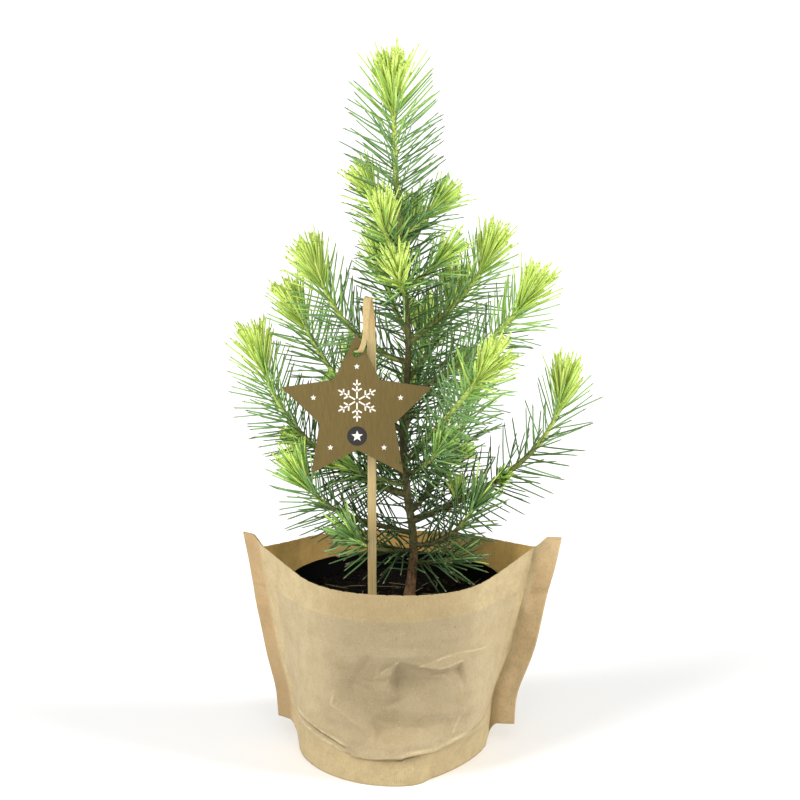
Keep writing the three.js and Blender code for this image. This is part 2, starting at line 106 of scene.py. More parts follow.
# Side shoots: the shoot that each grows on, the share of its length, turn, rise and length.
SIDE_SHOOTS = [
    ("left_long", 0.52, 176, 10, 7), ("right_long", 0.24, 95, 72, 5), ("right_long", 0.46, -70, 20, 4),
    ("left_back", 0.45, 215, 20, 5), ("right_mid", 0.35, 40, 20, 6),
    ("back_low_right", 0.5, 20, 20, 6), ("back_low_left", 0.5, 160, 20, 7), ("back_mid", 0.5, 110, 30, 5),
]
# What a side shoot's rise gains from its foot to its tip, and its fresh growth.
SIDE_CURL = 15
SIDE_FRESH = 0.55
STEM_STEP = 0.6
# A bough's radius near its tip, and what each millimetre away from the tip adds.
BOUGH_RADIUS = 1.05
BOUGH_STOUTNESS = 0.0062


# ------------------------------------------------------------------ settings

def srgb(*levels):
    """A display colour of three levels from 0 to 255 as a linear colour."""
    shares = [level / 255 for level in levels]
    return tuple(s / 12.92 if s <= 0.04045 else ((s + 0.055) / 1.055) ** 2.4 for s in shares)


def length_setting(name, description, default):
    """A length, shown in the scene's units."""
    return bpy.props.FloatProperty(
        name=name, description=description, default=default, min=0, unit="LENGTH", precision=5
    )


def colour_setting(name, description, default):
    """A colour of three linear levels."""
    return bpy.props.FloatVectorProperty(
        name=name, description=description, default=default, min=0, max=1, size=3, subtype="COLOR"
    )


def number_setting(name, description, default, least=0):
    """A number without a unit, such as a light's strength."""
    return bpy.props.FloatProperty(name=name, description=description, default=default, min=least)


def count_setting(name, description, default):
    """A whole number."""
    return bpy.props.IntProperty(name=name, description=description, default=default, min=0)


class TreeSettings(bpy.types.PropertyGroup):
    """The size, number and colours of the needles, and the colours of the bark."""

    seed: count_setting("Seed", "Picks another plant of the same kind", 11)
    needle_length: length_setting("Needle length", "Length of a full grown needle", 0.0255)
    needle_width: length_setting("Needle width", "Width of a needle at its middle", 0.00091)
    needle_spacing: length_setting("Needle spacing", "Stem length for each needle", 0.00050)
    tuft_needles: count_setting("Tuft needles", "Number of young needles at the tip of a long shoot", 86)
    # Lemon and lime are a lit and a shaded copy of the youngest needles' colour, dealt out at random: painted
    # light and painted shade.
    lemon: colour_setting("Lemon", "Youngest needles, in the light", srgb(208, 226, 124))
    lime: colour_setting("Lime", "Youngest needles, deeper in the tuft", srgb(195, 219, 108))
    fresh: colour_setting("Fresh", "Needles below the tuft", srgb(153, 192, 100))
    leaf: colour_setting("Leaf", "Grown needles", srgb(122, 160, 97))
    deep: colour_setting("Deep", "Older needles", srgb(87, 119, 65))
    shade: colour_setting("Shade", "Oldest needles, by the trunk", srgb(62, 87, 49))
    ends: colour_setting("Ends", "Dry ends of grown needles", srgb(122, 120, 94))
    bark: colour_setting("Bark", "Bark at the trunk's foot", srgb(124, 94, 60))
    twig: colour_setting("Twig", "Skin of a young twig", srgb(190, 206, 104))


class PotSettings(bpy.types.PropertyGroup):
    """The pot and what lies in it."""

    plastic: colour_setting("Plastic", "The pot", srgb(8, 8, 8))
    soil: colour_setting("Soil", "Moist peat", srgb(20, 16, 12))
    crumbs: count_setting("Crumbs", "Number of peat crumbs on top", 2600)
    fibres: count_setting("Fibres", "Number of straws and dead needles", 34)


class BagSettings(bpy.types.PropertyGroup):
    """The kraft paper bag."""

    sheet: length_setting("Sheet", "Thickness of the paper", 0.00042)
    facet: length_setting("Facet", "How far the front's middle is pressed flat", 0.0078)
    seal_step: length_setting("Seal step", "How far the front stands over the gusset's seal", 0.0018)
    kraft: colour_setting("Kraft", "Plain paper at the hem, the fins and the foot", srgb(160, 140, 99))
    lined: colour_setting("Lined kraft", "Lined paper between hem and seal", srgb(153, 137, 105))
    fins: colour_setting("Fins", "The paper of the two side fins", srgb(168, 136, 92))
    # Painted light: the inner face is painted brighter and more orange than the outer paper, standing in for
    # light that shines through the sheet into the bag.
    inside: colour_setting("Inside", "The paper's inner face", srgb(208, 167, 92))


class TagSettings(bpy.types.PropertyGroup):
    """The star tag and its pick."""

    board: colour_setting("Board", "Face of the star", srgb(102, 85, 40))
    ink: colour_setting("Ink", "Light print on the star", srgb(236, 230, 216))
    dark_ink: colour_setting("Dark ink", "Dark print on the star", srgb(28, 24, 22))
    bamboo: colour_setting("Bamboo", "The pick", srgb(189, 170, 118))


class StageSettings(bpy.types.PropertyGroup):
    """Floor, light and camera."""

    floor: colour_setting("Floor", "Plain pale floor", (0.93, 0.93, 0.93))
    world: number_setting("Sky light", "Strength of the even light from above", 0.5)
    key: number_setting("Side light", "Strength of the soft side lights", 2.3)
    lens: number_setting("Lens", "Focal length in millimetres", 92, 1)


# ------------------------------------------------------------------ numbers and curves

# Steps along each span of a spline before it is resampled.
SPAN_STEPS = 120


def unit(vectors):
    """Each vector divided by its length."""
    return vectors / np.maximum(np.linalg.norm(vectors, axis=-1, keepdims=True), 1e-9)


def ramp(value, low, high):
    """Rises smoothly from 0 at low to 1 at high: three times the share squared less twice its cube."""
    share = np.clip((value - low) / (high - low), 0, 1)
    return share * share * (3 - 2 * share)


def window(value, start, rise, fall, end):
    """Rises smoothly from 0 at the start to 1, and falls back to 0 at the end."""
    return ramp(value, start, rise) * (1 - ramp(value, fall, end))


def bell(value, middle, width):
    """1 at the middle, falling on both sides: e to the power of minus the square of distance over width."""
    return np.exp(-(((value - middle) / width) ** 2))


def round_angles(sides):
    """The angles of evenly spaced corners round a full turn."""
    return np.linspace(0, math.tau, sides, endpoint=False)


def polar(radius, turn, middle=(0, 0)):
    """Both coordinates of places at a distance and an angle from a middle, in a plane."""
    return middle[0] + radius * np.cos(turn), middle[1] + radius * np.sin(turn)


def distances(places):
    """How far along a line each of its places lies."""
    return np.concatenate([[0], np.cumsum(np.linalg.norm(np.diff(places, axis=0), axis=1))])


def spline(points, step):
    """A smooth curve through points, as places a step apart and unit directions.

    Each span is a cubic whose end slopes come from the neighbouring points, weighted by the square
    root of the distance between them (centripetal Catmull-Rom), then resampled evenly by length.
    """
    inner = np.array(points, float)
    line = np.vstack([2 * inner[0] - inner[1], inner, 2 * inner[-1] - inner[-2]])
    gap = np.linalg.norm(np.diff(line, axis=0), axis=1)[:, None] ** 0.5
    before, here, after = gap[:-2], gap[1:-1], gap[2:]
    p0, p1, p2, p3 = line[:-3], line[1:-2], line[2:-1], line[3:]
    leave = ((p1 - p0) / before - (p2 - p0) / (before + here) + (p2 - p1) / here) * here
    arrive = ((p2 - p1) / here - (p3 - p1) / (here + after) + (p3 - p2) / after) * here
    t = np.linspace(0, 1, SPAN_STEPS, endpoint=False)[None, :, None]
    a, b, c, d = (v[:, None] for v in (p1, p2, leave, arrive))
    dense = a + c * t + (3 * (b - a) - 2 * c - d) * t**2 + (2 * (a - b) + c + d) * t**3
    dense = np.vstack([dense.reshape(-1, 3), inner[-1]])
    along = distances(dense)
    count = max(2, int(round(along[-1] / step)) + 1)
    stations = np.linspace(0, along[-1], count)
    places = np.stack([np.interp(stations, along, dense[:, k]) for k in range(3)], 1)
    return places, unit(np.gradient(places, axis=0))


def arc(start, turn, first, last, bend, length):
    """A shoot's line from start in one upright plane, its directions, and the direction square to the plane.

    The rise goes from first to last with the share of the length to the power bend, and each place is the
    sum of the steps before it.
    """
    count = max(4, int(round(length / STEM_STEP)) + 1)
    share = np.linspace(0, 1, count)
    rise = np.radians(first + (last - first) * share**bend)
    turn = math.radians(turn)
    aim = np.stack([np.cos(rise) * math.cos(turn), np.cos(rise) * math.sin(turn), np.sin(rise)], 1)
    moves = (aim[1:] + aim[:-1]) / 2 * (length / (count - 1))
    places = np.vstack([start, start + np.cumsum(moves, axis=0)])
    return places, aim, np.array([-math.sin(turn), math.cos(turn), 0.0])


def across(aim, reference):
    """Two unit vectors square to each direction: the reference made square to it, and their cross product."""
    first = unit(reference - np.sum(reference * aim, -1, keepdims=True) * aim)
    return first, np.cross(aim, first)


def waves(x, y, rng, count, short, long):
    """Uneven ground: the sum of count sine waves in random directions, of wavelengths from short to long."""
    turn = rng.uniform(0, math.tau, count)
    number = math.tau / rng.uniform(short, long, count)
    start = rng.uniform(0, math.tau, count)
    total = np.zeros(np.broadcast(x, y).shape)
    for angle, wave, phase in zip(turn, number, start):
        total += np.sin(wave * (x * math.cos(angle) + y * math.sin(angle)) + phase)
    return total / math.sqrt(count)


def line_distance(x, z, x0, z0, x1, z1):
    """Distance from the line between two places, and which side of it: above 0 on the right of the way."""
    along_x, along_z = x1 - x0, z1 - z0
    off_x, off_z = x - x0, z - z0
    share = np.clip((off_x * along_x + off_z * along_z) / (along_x**2 + along_z**2), 0, 1)
    distance = np.hypot(off_x - share * along_x, off_z - share * along_z)
    return distance, off_x * along_z - off_z * along_x


def ridges(x, z, lines):
    """Sharp creases: each lifts its line by a height that falls evenly to nothing, at the width on the left
    of the line's way and at four times the width on its right."""
    total = np.zeros(np.broadcast(x, z).shape)
    for *line, height, width in lines:
        distance, right = line_distance(x, z, *line)
        total += height * np.maximum(0, 1 - distance / (width * (1 + 3 * ramp(right, -0.5, 0.5))))
    return total


def traced(x, z, lines, width):
    """1 along each of the lines, falling like a bell curve beside them."""
    near = [line_distance(x, z, *line)[0] for line in lines]
    return bell(np.min(near, 0), 0, width)


def folded(x, z, spots, folds):
    """Lift between spots of known lift: flat triangles, whose sides follow the folds."""
    corners = [Vector(spot[:2]) for spot in spots]
    flat, _, triangles, source, _, _ = delaunay_2d_cdt(corners, folds, [], 0, 1e-4)
    total = np.zeros(np.broadcast(x, z).shape)
    for triangle in triangles:
        (x0, z0), (x1, z1), (x2, z2) = (flat[corner] for corner in triangle)
        lift = [spots[source[corner][0]][2] for corner in triangle]
        area = (x1 - x0) * (z2 - z0) - (x2 - x0) * (z1 - z0)
        second = ((x - x0) * (z2 - z0) - (x2 - x0) * (z - z0)) / area
        third = ((x1 - x0) * (z - z0) - (x - x0) * (z1 - z0)) / area
        inside = (second >= 0) & (third >= 0) & (second + third <= 1)
        value = lift[0] + second * (lift[1] - lift[0]) + third * (lift[2] - lift[0])
        total = np.where(inside, value, total)
    return total


# ------------------------------------------------------------------ meshes

class Build:
    """Gathers vertices in millimetres and faces, and makes them one piece."""

    def __init__(self):
        self.points, self.faces, self.values, self.count = [], [], [], 0

    def add(self, points, *faces, value=0.0):
        """Adds a block of vertices with the faces that number them from 0, and a value for each vertex."""
        points = np.asarray(points, float).reshape(-1, 3)
        self.points.append(points)
        self.values.append(np.broadcast_to(np.asarray(value, float).ravel(), (len(points),)))
        self.faces += [np.asarray(f) + self.count for f in faces if len(f)]
        self.count += len(points)
        return self

    def piece(self, name, finish, slot, nodes=(), smooth=True, value_name=None):
        """Makes the mesh and the object, which rides on the body and stands for the nodes."""
        mesh = bpy.data.meshes.new(name)
        corners = np.concatenate([f.ravel() for f in self.faces]).astype(np.int32)
        sizes = np.concatenate([np.full(len(f), f.shape[1]) for f in self.faces])
        starts = np.concatenate([[0], np.cumsum(sizes)[:-1]]).astype(np.int32)
        places = (np.vstack(self.points) * MM).astype(np.float32)
        mesh.vertices.add(len(places))
        mesh.vertices.foreach_set("co", places.ravel())
        mesh.loops.add(len(corners))
        mesh.loops.foreach_set("vertex_index", corners)
        mesh.polygons.add(len(starts))
        mesh.polygons.foreach_set("loop_start", starts)
        mesh.polygons.foreach_set("use_smooth", np.full(len(starts), smooth))
        mesh.update(calc_edges=True)
        if mesh.validate():
            raise RuntimeError(f"{name} has a broken face")
        if value_name:
            attribute = mesh.attributes.new(value_name, "FLOAT", "POINT")
            attribute.data.foreach_set("value", np.concatenate(self.values).astype(np.float32))
        mesh.materials.append(finish)
        piece = bpy.data.objects.new(name, mesh)
        bpy.context.scene.collection.objects.link(piece)
        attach(piece, BODY)
        if nodes:
            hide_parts(*nodes)
        return piece


def grid(rows, columns, ring=False):
    """The quads of a grid of vertices, row after row. A ring joins each row's end to its start."""
    row = np.arange(rows - 1)[:, None]
    column = np.arange(columns if ring else columns - 1)[None, :]
    beside = (column + 1) % columns
    corners = [row * columns + column, row * columns + beside]
    corners += [(row + 1) * columns + beside, (row + 1) * columns + column]
    return np.stack(corners, -1).reshape(-1, 4)


def caps(rows, sides):
    """The two end faces of a tube of rows rings."""
    ring = np.arange(sides)[None]
    return ring[:, ::-1], ring + (rows - 1) * sides


def closed_tube(rows, sides):
    """The quads and both end faces of a tube of rows rings."""
    return grid(rows, sides, True), *caps(rows, sides)


def spokes(aim, reference, sides):
    """Unit vectors to the corners of a ring round each direction.

    Spoke = cos(angle) * first + sin(angle) * second, where both are square to the direction.
    """
    first, second = across(aim, reference)
    angle = round_angles(sides)[None, :, None]
    return np.cos(angle) * first[:, None] + np.sin(angle) * second[:, None]


def tube(places, aim, reference, radius):
    """A limb: at each place, a ring of corners round the direction, at its own radius for each side."""
    return places[:, None] + radius[:, :, None] * spokes(aim, reference, radius.shape[1])


def spindles(base, aim, bend, length, width, shares, swell, sides=3):
    """Many slender bodies at once, each a bent line with rings of corners round it.

    Middle = base + length * (share * aim + share squared * bend), and a ring's radius is half the width
    times its swell. Returns an array of bodies by rings by sides by three.
    """
    share = np.array(shares)[None, :, None]
    middle = base[:, None] + length[:, None, None] * (share * aim[:, None] + share**2 * bend[:, None])
    reference = np.where(np.abs(aim[:, 2:]) > 0.8, [[1.0, 0.0, 0.0]], [[0.0, 0.0, 1.0]])
    radius = (width[:, None] / 2 * np.array(swell)[None])[:, :, None, None]
    return middle[:, :, None] + radius * spokes(aim, reference, sides)[:, None]


def add_spindles(build, bodies):
    """Adds bodies made by spindles, with the faces of one repeated for each."""
    count, rows, sides, _ = bodies.shape
    offset = (np.arange(count) * rows * sides)[:, None, None]
    return build.add(bodies, *[(f[None] + offset).reshape(-1, f.shape[1]) for f in closed_tube(rows, sides)])


def shell(rows, columns):
    """The faces that close an outer and an inner grid of one size into a sheet: its front, back and edge."""
    index = np.arange(rows * columns).reshape(rows, columns)
    rim = np.concatenate([index[0], index[1:, -1], index[-1, -2::-1], index[-2:0:-1, 0]])
    beside = np.roll(rim, -1)
    under = rows * columns
    front = grid(rows, columns)
    edge = np.stack([rim, rim + under, beside + under, beside], 1)
    return front, front[:, ::-1] + under, edge


def normals(surface):
    """Unit normals of a grid of places: the cross product of its two slopes."""
    return unit(np.cross(np.gradient(surface, axis=1), np.gradient(surface, axis=0)))


def turned(profile, segments):
    """A lathe shape: each (radius, height) of the profile carried round the axis."""
    angle = round_angles(segments)[None]
    radius, height = np.array(profile, float).T[:, :, None]
    return np.stack([*polar(radius, angle), height + 0 * angle], -1)


def plate(outline, holes, front, back):
    """A flat plate that faces -Y: its outline and holes in X and Z, closed between two depths."""
    loops = [np.asarray(loop, float) for loop in (outline, *holes)]
    flat = np.vstack(loops)
    face = np.array(tessellate_polygon([[Vector((x, z, 0)) for x, z in loop] for loop in loops]))
    a, b, c = flat[face[:, 0]], flat[face[:, 1]], flat[face[:, 2]]
    turns = (b - a)[:, 0] * (c - a)[:, 1] - (b - a)[:, 1] * (c - a)[:, 0]
    face = np.where(turns[:, None] > 0, face, face[:, ::-1])
    places = [np.insert(flat, 1, depth, axis=1) for depth in (front, back)]
    count, start, walls = len(flat), 0, []
    for loop in loops:
        here = start + np.arange(len(loop))
        beside = np.roll(here, -1)
        walls.append(np.stack([here, here + count, beside + count, beside], 1))
        start += len(loop)
    return np.vstack(places), face, face[:, ::-1] + count, np.vstack(walls)


# ------------------------------------------------------------------ finishes

class Wire:
    """A shader value that takes part in arithmetic: each operator adds one Math node."""

    def __init__(self, finish, socket):
        self.finish, self.socket = finish, socket

    def _math(self, operation, *values):
        return self.finish.node("ShaderNodeMath", {"operation": operation}, *values)

    def __add__(self, other):
        return self._math("ADD", self, other)

    def __sub__(self, other):
        return self._math("SUBTRACT", self, other)

    def __rsub__(self, other):
        return self._math("SUBTRACT", other, self)

    def __mul__(self, other):
        return self._math("MULTIPLY", self, other)

    __radd__ = __add__
    __rmul__ = __mul__


class Finish:
    """A material in the making. Constants go on the shader's sockets, and wires carry what varies."""

    def __init__(self, name, colour, roughness, **constants):
        self.material = bpy.data.materials.new(name)
        self.material.use_nodes = True
        self.tree = self.material.node_tree
        self.shader = next(n for n in self.tree.nodes if n.type == "BSDF_PRINCIPLED")
        self.material.diffuse_color = (*colour, 1)
        self.set("Base Color", (*colour, 1))
        self.set("Roughness", roughness)
        for socket, value in constants.items():
            self.set(socket.replace("_", " ").title().replace("Ior", "IOR"), value)

    def put(self, socket, value):
        """Links a wire to a socket, or sets the socket to a constant."""
        if isinstance(value, Wire):
            self.tree.links.new(value.socket, socket)
        else:
            socket.default_value = value

    def set(self, name, value):
        """Puts a constant or a wire on one of the shader's own sockets."""
        self.put(self.shader.inputs[name], value)
        return self

    def node(self, kind, settings=None, *values, output=0, **named):
        """Adds a node. Its settings come first, then its sockets' values or wires, by order or by name."""
        node = self.tree.nodes.new(kind)
        for key, value in (settings or {}).items():
            setattr(node, key, value)
        for index, value in enumerate(values):
            self.put(node.inputs[index], value)
        for key, value in named.items():
            self.put(node.inputs[key.replace("_", " ")], value)
        return Wire(self, node.outputs[output])

    def place(self, stretch=(1, 1, 1)):
        """Object coordinates, in metres, scaled along each axis."""
        where = self.node("ShaderNodeTexCoord", output="Object")
        return self.node("ShaderNodeMapping", {"vector_type": "POINT"}, Vector=where, Scale=stretch)

    def axis(self, name):
        """One of the object coordinates, in metres."""
        return self.node("ShaderNodeSeparateXYZ", None, self.place(), output=name)

    def attribute(self, name):
        """One of the mesh's own values."""
        return self.node("ShaderNodeAttribute", {"attribute_name": name}, output="Fac")

    def noise(self, scale, detail=4.0, stretch=(1, 1, 1), roughness=0.55):
        """Noise from 0 to 1, with scale waves to the metre."""
        return self.node(
            "ShaderNodeTexNoise", None, output="Fac", Vector=self.place(stretch), Scale=scale,
            Detail=detail, Roughness=roughness,
        )

    def cells(self, scale, stretch=(1, 1, 1)):
        """Distance to the nearest of many scattered points."""
        return self.node(
            "ShaderNodeTexVoronoi", None, output="Distance", Vector=self.place(stretch), Scale=scale
        )

    def between(self, value, low, high):
        """Rises smoothly from 0 at low to 1 at high."""
        return self.node(
            "ShaderNodeMapRange", {"interpolation_type": "SMOOTHSTEP"}, Value=value,
            **{"From Min": low, "From Max": high},
        )

    def mix(self, share, first, second):
        """Blends two colours by a share. The node's sockets for these are numbers 0, 6 and 7."""
        node = self.tree.nodes.new("ShaderNodeMix")
        node.data_type = "RGBA"
        for index, value in ((0, share), (6, first), (7, second)):
            colour = value if isinstance(value, Wire) or index == 0 else (*value[:3], 1)
            self.put(node.inputs[index], colour)
        return Wire(self, node.outputs[2])

    def relief(self, height, distance, strength):
        """Puts relief of a height in metres on the shader."""
        bump = self.node(
            "ShaderNodeBump", None, output="Normal", Height=height, Distance=distance, Strength=strength
        )
        return self.set("Normal", bump)


# The right fin's colour where it stands out at the bag's side, painted lighter as painted light, and the
# colours laid over kraft and bamboo; the worn kraft colour also paints highlights.
RIGHT_FIN_PAINTED_LIGHT = (0.72, 0.53, 0.29)
PALE_FIBRE = (0.9, 0.82, 0.62)
RUBBED_AND_HIGHLIT_KRAFT = srgb(226, 208, 164)
BAMBOO_STAIN = srgb(196, 142, 82)


def dim(colour, *shares):
    """A colour times a share, or each of its levels times its own."""
    shares = shares if len(shares) > 1 else shares * 3
    return tuple(level * share for level, share in zip(colour, shares))


def blend(first, second, share, rest):
    """One colour times a share plus another times the rest."""
    return tuple(share * a + rest * b for a, b in zip(first, second))


def bark_finish(name, skin, crack, scale):
    """Bark: long fissures darker than the skin, scaly flakes, and relief from both."""
    finish = Finish(name, skin, roughness=0.85)
    fissure = finish.noise(scale, 6, (1, 1, 0.28), 0.65)
    flake = finish.cells(scale * 1.6, (1, 1, 0.5))
    worn = finish.between(fissure, 0.36, 0.62)
    colour = finish.mix(worn, crack, skin)
    pale = finish.between(finish.noise(scale * 0.35, 3), 0.52, 0.75)
    finish.set("Base Color", finish.mix(pale * 0.5, colour, tuple(min(1, c * 1.5) for c in skin)))
    finish.set("Roughness", 0.75 + worn * 0.15)
    return finish.relief(fissure + flake * 0.5, 0.0005, 0.8).material


def needle_finish(name, colour):
    """A needle's smooth waxy skin, in one plain colour dealt out by spray."""
    return Finish(name, colour, roughness=0.55, specular_ior_level=0.2).material


def plastic_finish(colour):
    """Black moulded plastic, satin, with fine flow marks and dust in the roughness."""
    finish = Finish("Pot Plastic", colour, roughness=0.55, specular_ior_level=0.01)
    marks = finish.noise(700, 4, (1, 1, 0.4))
    dust = finish.between(finish.noise(90, 5), 0.5, 0.8)
    finish.set("Base Color", finish.mix(dust * 0.25, colour, tuple(c + 0.004 for c in colour)))
    finish.set("Roughness", 0.5 + dust * 0.2 + marks * 0.08)
    return finish.relief(marks, 0.0001, 0.4).material


def soil_finish(name, colour, pale):
    """Moist peat: dark, with paler grit, and a rough broken relief."""
    finish = Finish(name, colour, roughness=0.95, specular_ior_level=0.1)
    grain = finish.noise(900, 8, roughness=0.7)
    grit = finish.between(finish.noise(420, 6, roughness=0.75), 0.58, 0.72)
    finish.set("Base Color", finish.mix(grit, dim(colour, 0.5), pale))
    finish.set("Roughness", 0.8 + grain * 0.2)
    return finish.relief(grain, 0.0012, 0.9).material


def fibre_finish(name, colour):
    """Straw and dead needles: tan, darker in streaks."""
    finish = Finish(name, colour, roughness=0.7)
    streak = finish.noise(600, 4)
    return finish.set("Base Color", finish.mix(streak, dim(colour, 0.4), colour)).material


def kraft_finish(name, plain, lined, fin):
    """Kraft paper: mottled, flecked with fibres of two lengths, greyer where lined and redder on the fins.

    The sheet has two values: "lined" is the distance inside the lined area, in millimetres, and "worn" is
    above 0 on worn folds and on painted highlights along the welts' crests and over the seal's lip, and below
    0 for the painted shadow under the seal's overhang and the painted shade between the welts. The flanks are
    painted paler than the middle and the middle darker, as painted light from the side lamps, and the foot is
    between the two. On the right, the fin is painted lighter and more orange, as painted light.
    """
    finish = Finish(name, plain, roughness=0.8)
    inside, worn = finish.attribute("lined"), finish.attribute("worn")
    across, tall = finish.axis("X"), finish.axis("Z")

    # Painted light: the flanks are painted paler and the middle darker, standing in for light from the side
    # lamps.
    flank_light = finish.between(across * across, 0.0003, 0.0022)
    foot = finish.between(tall * -1, -0.037, -0.024)
    pale = flank_light + foot * (0.62 - flank_light)
    plain_now = finish.mix(pale, dim(plain, 0.96), dim(plain, 1.28, 1.34, 1.5))
    lined_now = finish.mix(pale, dim(lined, 0.93), dim(lined, 1.25))

    fin = finish.mix(finish.between(tall, 0.015, 0.09), dim(fin, 0.74), fin)
    right = finish.between(across, -0.01, 0.01)
    # Painted light: on the right, the fin is painted lighter and more orange where it stands out at the side,
    # standing in for light that the right lamp doesn't give it.
    fin = finish.mix(right * 0.5, fin, finish.mix(flank_light, fin, RIGHT_FIN_PAINTED_LIGHT))
    single = finish.between(inside * -1, 6.5, 10)
    edge = finish.between(inside + finish.noise(300, 3) * 0.5, 0.05, 0.55)
    colour = finish.mix(edge, finish.mix(single * 0.8, plain_now, fin), lined_now)

    mottle = finish.noise(130, 7, roughness=0.68)
    flecks = finish.noise(1900, 3, (1, 1, 0.35))
    fibres = finish.noise(1300, 3, (0.5, 1, 1.4))
    # Where "worn" is above 0: worn folds, and painted highlights on the welts' crests and along the seal's
    # lip.
    rubbed_and_highlit = finish.between(worn, 0.1, 1) * finish.between(mottle, 0.4, 0.6)
    for share, over in (
        (finish.between(mottle, 0.35, 0.7) * 0.4, dim(plain, 0.7)),
        (finish.between(flecks, 0.52, 0.72) * 0.42, dim(plain, 0.5)),
        (finish.between(fibres, 0.58, 0.76) * 0.16, PALE_FIBRE),
        (rubbed_and_highlit * 0.4, RUBBED_AND_HIGHLIT_KRAFT),
        # Painted shadow under the seal's overhang and painted shade between the welts, where "worn" is below
        # 0.
        (finish.between(worn * -1, 0.1, 0.9) * 0.85, dim(plain, 0.2)),
    ):
        colour = finish.mix(share, colour, over)
    finish.set("Base Color", colour)
    finish.set("Roughness", 0.7 + mottle * 0.2)
    tooth = finish.noise(2600, 3)
    return finish.relief(tooth + flecks + mottle, 0.00012, 0.7).material


def bamboo_finish(colour):
    """Bamboo: fine dark lines along the strip, and slow changes of tone."""
    finish = Finish("Bamboo", colour, roughness=0.5)
    grain = finish.noise(2600, 4, (1, 1, 0.02))
    tone = finish.noise(60, 3, (1, 1, 0.5))
    base = finish.mix(finish.between(grain, 0.4, 0.72) * 0.75, colour, dim(colour, 0.55))
    finish.set("Base Color", finish.mix(finish.between(tone, 0.4, 0.7) * 0.4, base, BAMBOO_STAIN))
    finish.set("Roughness", 0.45 + grain * 0.2)
    return finish.relief(grain, 0.00008, 0.5).material


def board_finish(colour):
    """The star's brown board: upright fibres, light and dark, on a mottled ground."""
    finish = Finish("Star Board", colour, roughness=0.85)
    fibre = finish.noise(1500, 4, (1, 1, 0.12))
    fleck = finish.noise(900, 5, (1, 1, 0.4), 0.7)
    base = finish.mix(finish.between(fibre, 0.3, 0.75), dim(colour, 0.88), dim(colour, 1.1))
    finish.set("Base Color", finish.mix(finish.between(fleck, 0.6, 0.75) * 0.5, base, dim(colour, 0.5)))
    finish.set("Roughness", 0.78 + fleck * 0.12)
    return finish.relief(fibre, 0.00008, 0.5).material


def ink_finish(name, colour):
    """Print: slightly worn, so that its tone varies a little."""
    finish = Finish(name, colour, roughness=0.6)
    worn = finish.between(finish.noise(1500, 4), 0.55, 0.8)
    return finish.set("Base Color", finish.mix(worn * 0.4, colour, dim(colour, 0.7))).material


def floor_finish(colour):
    """A plain pale matt floor with a barely seen tooth."""
    finish = Finish("Floor", colour, roughness=0.9)
    tooth = finish.noise(40, 3)
    return finish.set("Roughness", 0.85 + tooth * 0.1).material


# ------------------------------------------------------------------ trunk and boughs

def stems():
    """Every stem: its name, line, directions, a reference across it, and how far its fresh growth reaches.

    A side shoot is an arc that starts on its parent's line.
    """
    places, aim = spline(TRUNK_LINE, STEM_STEP * 0.8)
    found = [("trunk", places, aim, np.array([0.0, 1.0, 0.0]), TRUNK_FRESH)]
    lines = {}
    for name, (height, *course, fresh) in SHOOTS.items():
        start = np.array([np.interp(height, places[:, 2], places[:, k]) for k in range(3)])
        shoot = arc(start, *course)
        lines[name] = shoot[0]
        found.append((name, *shoot, fresh))
    for parent, share, turn, rise, length in SIDE_SHOOTS:
        start = lines[parent][int(share * (len(lines[parent]) - 1))]
        found.append(("side", *arc(start, turn, rise, rise + SIDE_CURL, 1, length), SIDE_FRESH))
    return found


def stem_radius(name, places):
    """Radius along a stem, the distance left to its tip, and the distance from its foot."""
    run = distances(places)
    left = run[-1] - run
    if name == "trunk":
        share = (run / run[-1]) ** 0.8
        radius = TRUNK_RADIUS[0] + (TRUNK_RADIUS[1] - TRUNK_RADIUS[0]) * share
        radius = radius + ROOT_FLARE[0] * np.exp(-np.maximum(0, run - 3) / ROOT_FLARE[1])
    else:
        radius = BOUGH_RADIUS + BOUGH_STOUTNESS * left - 0.25 * np.exp(-left / 6)
    tip = np.sqrt(np.clip(left / 1.6, 0.02, 1))
    return radius * tip, left, run


# The pegs that old needles leave: how far apart, how high, how long and how wide each is.
PEG_STEP = 0.95
PEG_HEIGHT = 2.2
PEG_LENGTH = 0.5
PEG_WIDTH = 0.45


def bark_relief(radius, run, sides, rng, size):
    """Radius for each side of each ring: long waves that run along the stem, and the pegs that old
    needles leave, set on a spiral, each a small hump."""
    angle = round_angles(sides)[None]
    relief = np.zeros((len(run), sides))
    for wave in range(2, 9):
        drift, phase = rng.uniform(-0.25, 0.25), rng.uniform(0, math.tau)
        relief += np.sin(wave * angle + drift * run[:, None] + phase) / 7
    pegs = np.arange(0, run[-1], PEG_STEP)
    turn = (np.arange(len(pegs)) * GOLDEN_ANGLE + rng.uniform(0, 1)) % math.tau
    for place, side in zip(pegs, turn):
        near = np.abs(run - place) < 4 * PEG_LENGTH
        gap = (angle - side + math.pi) % math.tau - math.pi
        hump = bell(run[near, None], place, PEG_LENGTH) * bell(gap * radius[near, None], 0, PEG_WIDTH)
        relief[near] += PEG_HEIGHT * hump
    return radius[:, None] + size * relief * np.minimum(1, radius / 1.2)[:, None]


